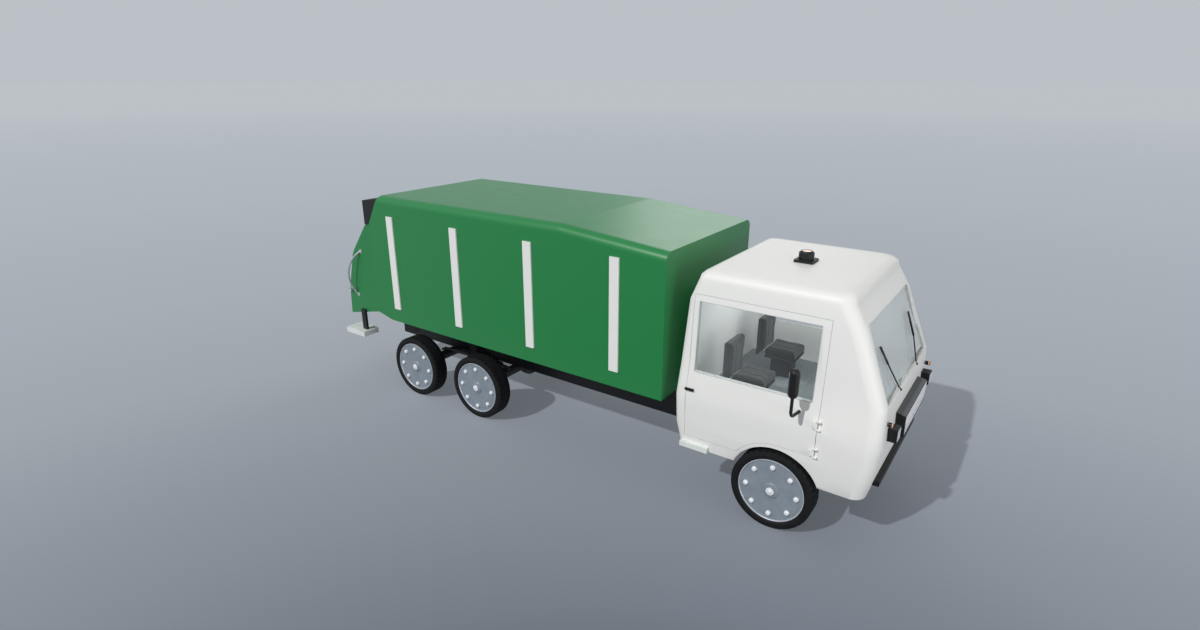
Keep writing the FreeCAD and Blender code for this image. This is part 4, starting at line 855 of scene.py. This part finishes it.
# %% Seams and the seat's base
SEAM_HALF, SEAM_DEPTH = 0.014, 0.007
SEAMS_AT = ((SEAT_Y0 * 2 + SEAT_Y1) / 3, (SEAT_Y0 + SEAT_Y1 * 2) / 3)
for piece, up_axis in ((cushion, 2), (backrest, 0)):
    front = max(vertex.co[up_axis] for vertex in piece.data.vertices)
    for vertex in piece.data.vertices:
        for seam_y in SEAMS_AT:
            gap = abs(vertex.co.y - seam_y)
            if gap < SEAM_HALF and vertex.co[up_axis] > front - 0.03:
                vertex.co[up_axis] -= SEAM_DEPTH * math.cos(gap / SEAM_HALF * math.pi / 2) ** 2
    close_up(piece, "cab", "seat_cloth", 60)
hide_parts("seats")

pedestal = block("seat_base_left", (SEAT_X0 + 0.200, SEAT_Y0 + 0.09, low.z),
                 (SEAT_X0 + 0.460, SEAT_Y1 - 0.09, CUSHION_Z0 - 0.03), 0.012)
pick(pedestal, lambda centre, normal: normal.z > 0.9 and centre.z > CUSHION_Z0 - 0.05)
bpy.ops.transform.resize(value=(1.35, 1.15, 1))
tray = block("tray", (SEAT_X0 + 0.125, SEAT_Y0 + 0.03, CUSHION_Z0 - 0.035),
             (SEAT_X1 - 0.03, SEAT_Y1 - 0.03, CUSHION_Z0 + 0.004), 0.010)
shell = block("shell", (SEAT_X0 + 0.001, SEAT_Y0 + 0.03, CUSHION_Z0 - 0.02),
              (SEAT_X0 + 0.030, SEAT_Y1 - 0.03, SEAT_TOP - 0.04), 0.010)
base = close_up(join([pedestal, tray, shell], "seat_base_left"), "cab", "charcoal", 35)
for piece in (cushion, backrest, base):
    twin = mirrored(piece, "cab")
print("seats from", round(SEAT_X0, 3), "to", round(SEAT_X1, 3))

# %% [markdown]
# ## Smooth skins for the cab
# The cab's panels are pressed sheet: they bend softly where the CAD form has a crease between two
# slopes. Copies of the shell and doors are merged, cut by a level plane on each side of every crease,
# and shaded smooth, so the light turns over a hand's breadth while the flat stretches stay flat.

# %% Soft creases on shell and doors
CREASES, CREASE_REACH = (1.000, 1.380, 1.800, 2.600), 0.150


def smooth_skin(node, body):
    """A smoothly shaded copy of a CAD node that stands for it."""
    skin = cad_copy(node, node + "_skin")
    for level in CREASES:
        for height in (level - CREASE_REACH, level + CREASE_REACH):
            pick_all()
            bpy.ops.mesh.bisect(plane_co=(0, 0, height), plane_no=(0, 0, 1))
    close_up(skin, body, "white_paint", 35)
    modify(skin, "WEIGHTED_NORMAL", {"keep_sharp": True})
    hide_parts(node)
    return skin


cab_skin = smooth_skin("cab_shell", "cab")
for side in SIDES:
    smooth_skin("door_" + side, "door_" + side)
print("cab skin faces:", len(cab_skin.data.polygons))

# %% [markdown]
# ## Inside the cab
# Light inside comes from a wide lamp panel in the roof lining. The dashboard has a hood over two dials
# in turned bezels.

# %% Roof lamp panel
PANEL_GLOW, PANEL_HALF_W, LINING_T = 3.7, 0.70, 0.062
FINISH["lit_panel"] = finish("lit_roof_panel", "#F4F5F3",
                             {"Roughness": 0.5, "IOR": 1.46, "Emission Color": colour("#EEF5F7"),
                              "Emission Strength": PANEL_GLOW}, "#EDEEEC", "#F6F7F5", 80)
low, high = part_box("cab_shell")
roof_in = high.z - LINING_T
lamp_panel = block("roof_lamp_panel", (low.x + 0.55, -PANEL_HALF_W, roof_in - 0.022),
                   (low.x + 1.65, PANEL_HALF_W, roof_in), 0.008)
step_in(lamp_panel, facing(2, -0.99), 0.020, (0, 0, 0.006))
close_up(lamp_panel, "cab", "lit_panel", 30)
print("roof lamp at z", round(roof_in, 3))

# %% Instruments
HOOD_HALF_W, DIAL_APART = 0.20, 0.085
DIAL = [(0.0, 0.0), (0.050, 0.0), (0.056, -0.004), (0.060, -0.012), (0.064, -0.012), (0.064, 0.004),
        (0.0, 0.004)]
low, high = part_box("dashboard")
dial_y = middle_of("steering_wheel").y
hood = block("instrument_hood", (low.x + 0.10, dial_y - HOOD_HALF_W, high.z - 0.004),
             (low.x + 0.30, dial_y + HOOD_HALF_W, high.z + 0.085), 0.018, 3)
step_in(hood, facing(0, -0.9), 0.014, (0.045, 0, 0))
pick(hood, facing(2, 0.9))
bpy.ops.transform.translate(value=(-0.035, 0, 0))
close_up(hood, "cab", "black_plastic", 35)
dials = [turned("dial", DIAL, (low.x + 0.136, y, high.z + 0.042), (1, 0, 0), 32)
         for y in (dial_y - DIAL_APART, dial_y + DIAL_APART)]
close_up(join(dials, "instrument_dials"), "cab", "rail_grey", 30)
print("dials at", round(dial_y, 3))

# %% [markdown]
# ## Seals
# Rubber closes the gap round each door and holds each pane. A seal follows the edge it sits on, so it
# starts from that edge: the rim faces of the door or of the window hole are copied, everything else is
# deleted, and the strip that is left is given a thickness.

# %% Rubber along edges, painted pale as a highlight
# the seal rubber is painted pale grey, not black: a painted highlight along the windscreen's lower edge, and
# pale where door gaps would show a line of shade
FINISH["seal"] = finish("pale_grey_seal_rubber", "#C9CBC9", {"Roughness": 0.6, "IOR": 1.52},
                        "#C2C4C2", "#D0D2D0", 30, (3.0, 0.2, 0.15))


def strip_along(name, node, body, thickness, test):
    """Copy the faces of a node that pass a test and thicken them into a seal."""
    piece = cad_copy(node, name)
    pick(piece, test)
    bpy.ops.mesh.select_all(action="INVERT")
    bpy.ops.mesh.delete(type="FACE")
    modify(piece, "SOLIDIFY", {"thickness": thickness, "offset": 1.0, "use_even_offset": True})
    close_up(piece, body, "seal", 30)


def inside(point, low, high, spare=0.0):
    """Whether a point lies in the x and z range of a box grown by spare."""
    return low.x - spare < point.x < high.x + spare and low.z - spare < point.z < high.z + spare


DOOR_SEAL_T, PANE_SEAL_T, EDGE_DEPTH = 0.004, 0.007, 0.095
for side in SIDES:
    door = "door_" + side
    pane_low, pane_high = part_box("door_glass_" + side)
    edge_y = min(abs(pane_low.y), abs(pane_high.y)) + EDGE_DEPTH
    strip_along("pane_seal_" + side, door, door, PANE_SEAL_T,
                lambda centre, normal: abs(normal.y) < 0.3 and inside(centre, pane_low, pane_high, 0.004))
    strip_along("door_seal_" + side, door, door, DOOR_SEAL_T,
                lambda centre, normal: abs(normal.y) < 0.5 and abs(centre.y) < edge_y
                and not inside(centre, pane_low, pane_high, 0.02))
pane_low, pane_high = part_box("windscreen")
strip_along("windscreen_seal", "cab_shell", "cab", PANE_SEAL_T,
            lambda centre, normal: abs(normal.x) < 0.3 and centre.x > pane_low.x - 0.04
            and abs(centre.y) < pane_high.y + 0.004
            and pane_low.z - 0.004 < centre.z < pane_high.z + 0.004)
print("seals", DOOR_SEAL_T, PANE_SEAL_T)

# %% [markdown]
# ## Wipers and mirrors
# The wipers' arms and blades are thin rods in the CAD model; here they swell to the girth of a pressed
# arm with its rubber blade. Each mirror head has a flat glass let into its rear side, and each door a
# pull inside.

# %% Wipers
WIPER_SWELL = 0.0025
full = cad_copy("wipers", "wiper_arms_and_blades")
pick_all()
bpy.ops.transform.shrink_fatten(value=WIPER_SWELL)
close_up(full, "cab", "black_plastic", 40)
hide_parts("wipers")
print("wiper faces:", len(full.data.polygons))

# %% Mirror glass and door pulls
FINISH["mirror"] = finish("silvered_mirror_glass", "#C8CDD0", {"Metallic": 1.0, "Roughness": 0.05},
                          "#C2C7CA", "#CED2D5", 60, (60.0, 0.3, 0.02))
MIRROR_R, HEAD_H, GLASS_HALF_W = 0.056, 0.300, 0.034
PULL_Y, PULL_T, PULL_Z0, PULL_Z1 = 1.2375, 0.010, 1.478, 1.512
for side, sign in SIDES.items():
    low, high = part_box("door_fittings_" + side)
    middle_y = sign * (max(abs(low.y), abs(high.y)) - MIRROR_R)
    middle_x = high.x - MIRROR_R
    pane = block("mirror_glass_" + side, (middle_x - 0.054, middle_y - GLASS_HALF_W, high.z - HEAD_H),
                 (middle_x - 0.042, middle_y + GLASS_HALF_W, high.z - 0.050), 0.005)
    step_in(pane, facing(0, -0.99), 0.006, (0.002, 0, 0))
    close_up(pane, "door_" + side, "mirror", 30)
    y0, y1 = sorted((sign * PULL_Y, sign * (PULL_Y - PULL_T)))
    grip = block("door_pull_" + side, (low.x + 0.004, y0, PULL_Z0), (low.x + 0.112, y1, PULL_Z1), 0.004)
    step_in(grip, facing(1, sign * 0.99), 0.006, (0, -sign * 0.002, 0))
    close_up(grip, "door_" + side, "black_plastic", 30)
print("mirror glass at x", round(middle_x - 0.05, 3))

# %% [markdown]
# ## Bolts and springs
# Cross members and body brackets are bolted to the rails, in rows that show between the wheels. U-bolts
# clamp each leaf spring to its seat: a round bar bent over the leaves, with a nut on each leg. A bolt is
# shaped once from a six-sided cylinder, and a U-bolt is a circle extruded up, spun over and led down.

# %% Rail bolts and body brackets
RAIL_OUT, RAIL_Z0, RAIL_TOP = 0.500, 0.640, 0.910
BOLT_R, BOLT_H, WASHER = 0.014, 0.009, 1.35
BRACKET_T, BRACKET_HALF = 0.008, 0.060
# metres ahead of the body's front wall
CROSS_AT = (2.130, 0.560, -0.900, -2.300, -4.005, -5.500)
BRACKET_AT = (-0.070, -1.300, -2.600, -3.900, -5.300)
BODY_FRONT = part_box("refuse_body")[1].x

bolt_at = (0, -RAIL_OUT - BOLT_H / 2, 0)
let_go()
bpy.ops.mesh.primitive_cylinder_add(vertices=6, radius=BOLT_R, depth=BOLT_H, location=bolt_at,
                                    rotation=(math.pi / 2, 0, 0))
bolt = open_new("rail_bolts")
step_in(bolt, facing(1, -0.95), 0.002, (0, -0.0015, 0))
pick(bolt, facing(1, 0.95))
bpy.ops.mesh.extrude_region_move()
bpy.ops.transform.resize(value=(WASHER, 1, WASHER), center_override=bolt_at)
bpy.ops.transform.translate(value=(0, 0.001, 0))
let_go()
places = [(BODY_FRONT + x + dx, 0, z) for x in CROSS_AT for dx in (-0.022, 0.022)
          for z in (RAIL_Z0 + 0.095, RAIL_Z0 + 0.175)]
places += [(BODY_FRONT + x + dx, -BRACKET_T, z) for x in BRACKET_AT for dx in (-0.035, 0.035)
           for z in (RAIL_TOP - 0.040, RAIL_TOP + 0.050)]
bolts = spread(bolt, places, "rail_bolts_right", "chassis", "spring_steel", 30)
mirrored(bolts, "chassis")
bracket = block("body_brackets", (-BRACKET_HALF, -RAIL_OUT - BRACKET_T, RAIL_TOP - 0.075),
                (BRACKET_HALF, -RAIL_OUT - 0.0003, RAIL_TOP + 0.085), 0.003, 1)
let_go()
brackets = spread(bracket, [(BODY_FRONT + x, 0, 0) for x in BRACKET_AT], "body_brackets_right", "chassis",
                  "black_paint", 30)
mirrored(brackets, "chassis")
print("bolts on each side:", len(places))

# %% U-bolts
BAR_R, LEG_NUT_R, LEG_NUT_H, LEG_END = 0.008, 0.015, 0.014, 0.012


def u_bolt(name, middle_y, half, low_z, top_z):
    """A round bar up, over and down, with a nut near each end, at x = 0."""
    let_go()
    bpy.ops.mesh.primitive_circle_add(vertices=10, radius=BAR_R, location=(0, middle_y - half, low_z),
                                      fill_type="NGON")
    bar = open_new(name)
    rise = top_z - half - low_z
    pick_all()
    bpy.ops.mesh.extrude_region_move(TRANSFORM_OT_translate={"value": (0, 0, rise)})
    bpy.ops.mesh.spin(steps=10, angle=math.pi, center=(0, middle_y, low_z + rise), axis=(-1, 0, 0))
    bpy.ops.mesh.extrude_region_move(TRANSFORM_OT_translate={"value": (0, 0, -rise)})
    merge_all()
    pieces = [bar]
    for y in (middle_y - half, middle_y + half):
        let_go()
        bpy.ops.mesh.primitive_cylinder_add(vertices=6, radius=LEG_NUT_R, depth=LEG_NUT_H,
                                            location=(0, y, low_z + LEG_END))
        pieces.append(open_new("nut"))
        pick(pieces[-1], lambda centre, normal: abs(normal.z) > 0.95)
        bpy.ops.mesh.inset(thickness=0.003)
        bpy.ops.transform.resize(value=(1, 1, 1.15))
    return join(pieces, name)


front_x = middle_of("rim_front_right").x
tandem_x = (middle_of("rim_mid_right").x + middle_of("rim_rear_right").x) / 2
# for each axle: its x, then the spring's middle, half width, foot and top, and the bolts' half spacing
for name, x, middle_y, half, foot, top, apart in (
        ("u_bolts_front", front_x, -0.455, 0.047, 0.490, 0.636, 0.080),
        ("u_bolts_tandem", tandem_x, -0.560, 0.054, 0.590, 0.795, 0.110)):
    pair = spread(u_bolt(name, middle_y, half, foot, top), [(x + dx, 0, 0) for dx in (-apart, apart)],
                  name + "_right", "chassis", "spring_steel", 30)
    mirrored(pair, "chassis")
print("tandem centre at x", round(tandem_x, 3))

# %% [markdown]
# ## The tail
# Low on the tail, beside the loading mouth, lie flat lamps for tail, turn and reverse. The grab rails
# end in round flanges, and each control knob has a turned cap with a finger recess. Inside the hopper,
# scoured steel sheets line the sides, and round bearings carry the packing arm's shaft.

# %% Tail lamps
REAR_LEAN, LAMP_Z0, LAMP_Z1, LAMP_GAP = 0.070, 1.160, 1.260, 0.003
TRAY_Y, TRAY_Z = (0.700, 1.030), (1.145, 1.275)
low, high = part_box("hopper")
face_x = low.x + ((LAMP_Z0 + LAMP_Z1) / 2 - low.z) * REAR_LEAN
for side, sign in SIDES.items():
    for name, y, width, lens in (("tail", 0.965, 0.110, "red_lens"), ("turn", 0.855, 0.090, "amber_lens"),
                                 ("reverse", 0.755, 0.090, "clear_lens")):
        y0, y1 = sorted((sign * (y - width / 2), sign * (y + width / 2)))
        lens_block("%s_lamp_%s" % (name, side), (face_x - 0.010, y0 + LAMP_GAP, LAMP_Z0),
                   (face_x + 0.006, y1 - LAMP_GAP, LAMP_Z1), 0, -1, lens, "tailgate")
    y0, y1 = sorted(sign * y for y in TRAY_Y)
    tray = block("lamp_tray_" + side, (face_x - 0.005, y0, TRAY_Z[0]), (face_x + 0.008, y1, TRAY_Z[1]),
                 0.004)
    step_in(tray, facing(0, -0.9), 0.006, (0.002, 0, 0))
    close_up(tray, "tailgate", "black_plastic", 30)
print("tail lamps at x", round(face_x, 3))

# %% Flanges, knobs, liners and bearings
SIDE_Y, LINER_Y, LINER_T = 1.100, 1.0497, 0.0037
# rows of radius and height over the hopper's side
FLANGE = [(0.0, 0.0), (0.036, 0.0), (0.036, 0.004), (0.030, 0.008), (0.019, 0.009), (0.0, 0.009)]
KNOB = [(0.0, 0.002), (0.012, 0.001), (0.020, 0.004), (0.024, 0.009), (0.031, 0.009), (0.034, 0.005),
        (0.0345, -0.006), (0.0, -0.006)]
BEARING = [(0.044, 0.0), (0.095, 0.0), (0.095, 0.010), (0.070, 0.016), (0.060, 0.030), (0.044, 0.030),
           (0.044, 0.0)]
# places as x from the body's front wall and z from the ground
RAIL_ENDS, KNOB_AT, KNOB_OUT = ((-6.209, 1.446), (-6.014, 2.252)), (-6.380, 1.520), 0.045
LINER_LOW, LINER_HIGH = (-6.385, 1.430), (-5.620, 1.660)
SHAFT_BACK, SHAFT_UNDER, BEARING_Y = 5.800, 0.042, 1.050
shaft_x, shaft_z = BODY_FRONT - SHAFT_BACK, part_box("packer_arm")[1].z - SHAFT_UNDER
for side, sign in SIDES.items():
    out = (0, sign, 0)
    flanges = [turned("flange", FLANGE, (BODY_FRONT + x, sign * SIDE_Y, z), out, 24)
               for x, z in RAIL_ENDS]
    close_up(join(flanges, "rail_flanges_" + side), "tailgate", "rail_grey", 35)
    knob = turned("knob_cap_" + side, KNOB, (BODY_FRONT + KNOB_AT[0], sign * (SIDE_Y + KNOB_OUT), KNOB_AT[1]),
                  out, 28)
    close_up(knob, "tailgate", "rail_grey", 35)
    bearing = turned("shaft_bearing_" + side, BEARING, (shaft_x, sign * BEARING_Y, shaft_z), (0, -sign, 0), 32)
    close_up(bearing, "tailgate", "axle_grey", 35)
    y0, y1 = sorted((sign * LINER_Y, sign * (LINER_Y - LINER_T)))
    liner = block("side_liner_" + side, (BODY_FRONT + LINER_LOW[0], y0, LINER_LOW[1]),
                  (BODY_FRONT + LINER_HIGH[0], y1, LINER_HIGH[1]), 0.001, 1)
    step_in(liner, facing(1, -sign * 0.9), 0.030, (0, -sign * 0.001, 0))
    close_up(liner, "tailgate", "blade_steel", 30)
print("packing shaft at", round(shaft_x, 3), round(shaft_z, 3))

# %% [markdown]
# ## Floor mat and steering boss
# A ribbed moulded mat covers the cab floor between seats and dashboard. The steering wheel's boss is
# turned, with a shallow cap where the horn push sits.

# %% Mat and boss
MAT_X0, MAT_X1, MAT_HALF_W, MAT_T = BODY_FRONT + 1.14, BODY_FRONT + 2.10, 0.98, 0.010
RIB_COUNT, RIB_PITCH, RIB_W, RIB_IN = 48, 0.0396, 0.012, 0.040
BOSS_X, BOSS_Z = BODY_FRONT + 1.850, 1.830
COLUMN_UP = Vector((-0.70, 0, 0.71)).normalized()
BOSS = [(0.0, 0.020), (0.030, 0.020), (0.034, 0.015), (0.055, 0.012), (0.062, 0.004), (0.062, -0.016),
        (0.046, -0.030), (0.0, -0.030)]
mat_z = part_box("cab_floor")[1].z
mat = block("floor_mat", (MAT_X0, -MAT_HALF_W, mat_z + 0.0003), (MAT_X1, MAT_HALF_W, mat_z + MAT_T),
            0.003, 1)
rib_y = RIB_IN - MAT_HALF_W
rib = block("rib", (MAT_X0 + RIB_IN, rib_y, mat_z + 0.009), (MAT_X1 - RIB_IN, rib_y + RIB_W, mat_z + 0.014),
            0.001, 1)
in_a_row(rib, RIB_COUNT, (0, RIB_PITCH, 0))
close_up(join([mat, rib], "floor_mat"), "cab", "interior_grey", 30)
boss = turned("steering_boss", BOSS, (BOSS_X, dial_y, BOSS_Z), COLUMN_UP, 36)
close_up(boss, "cab", "black_plastic", 35)
print("mat at z", round(mat_z, 3))
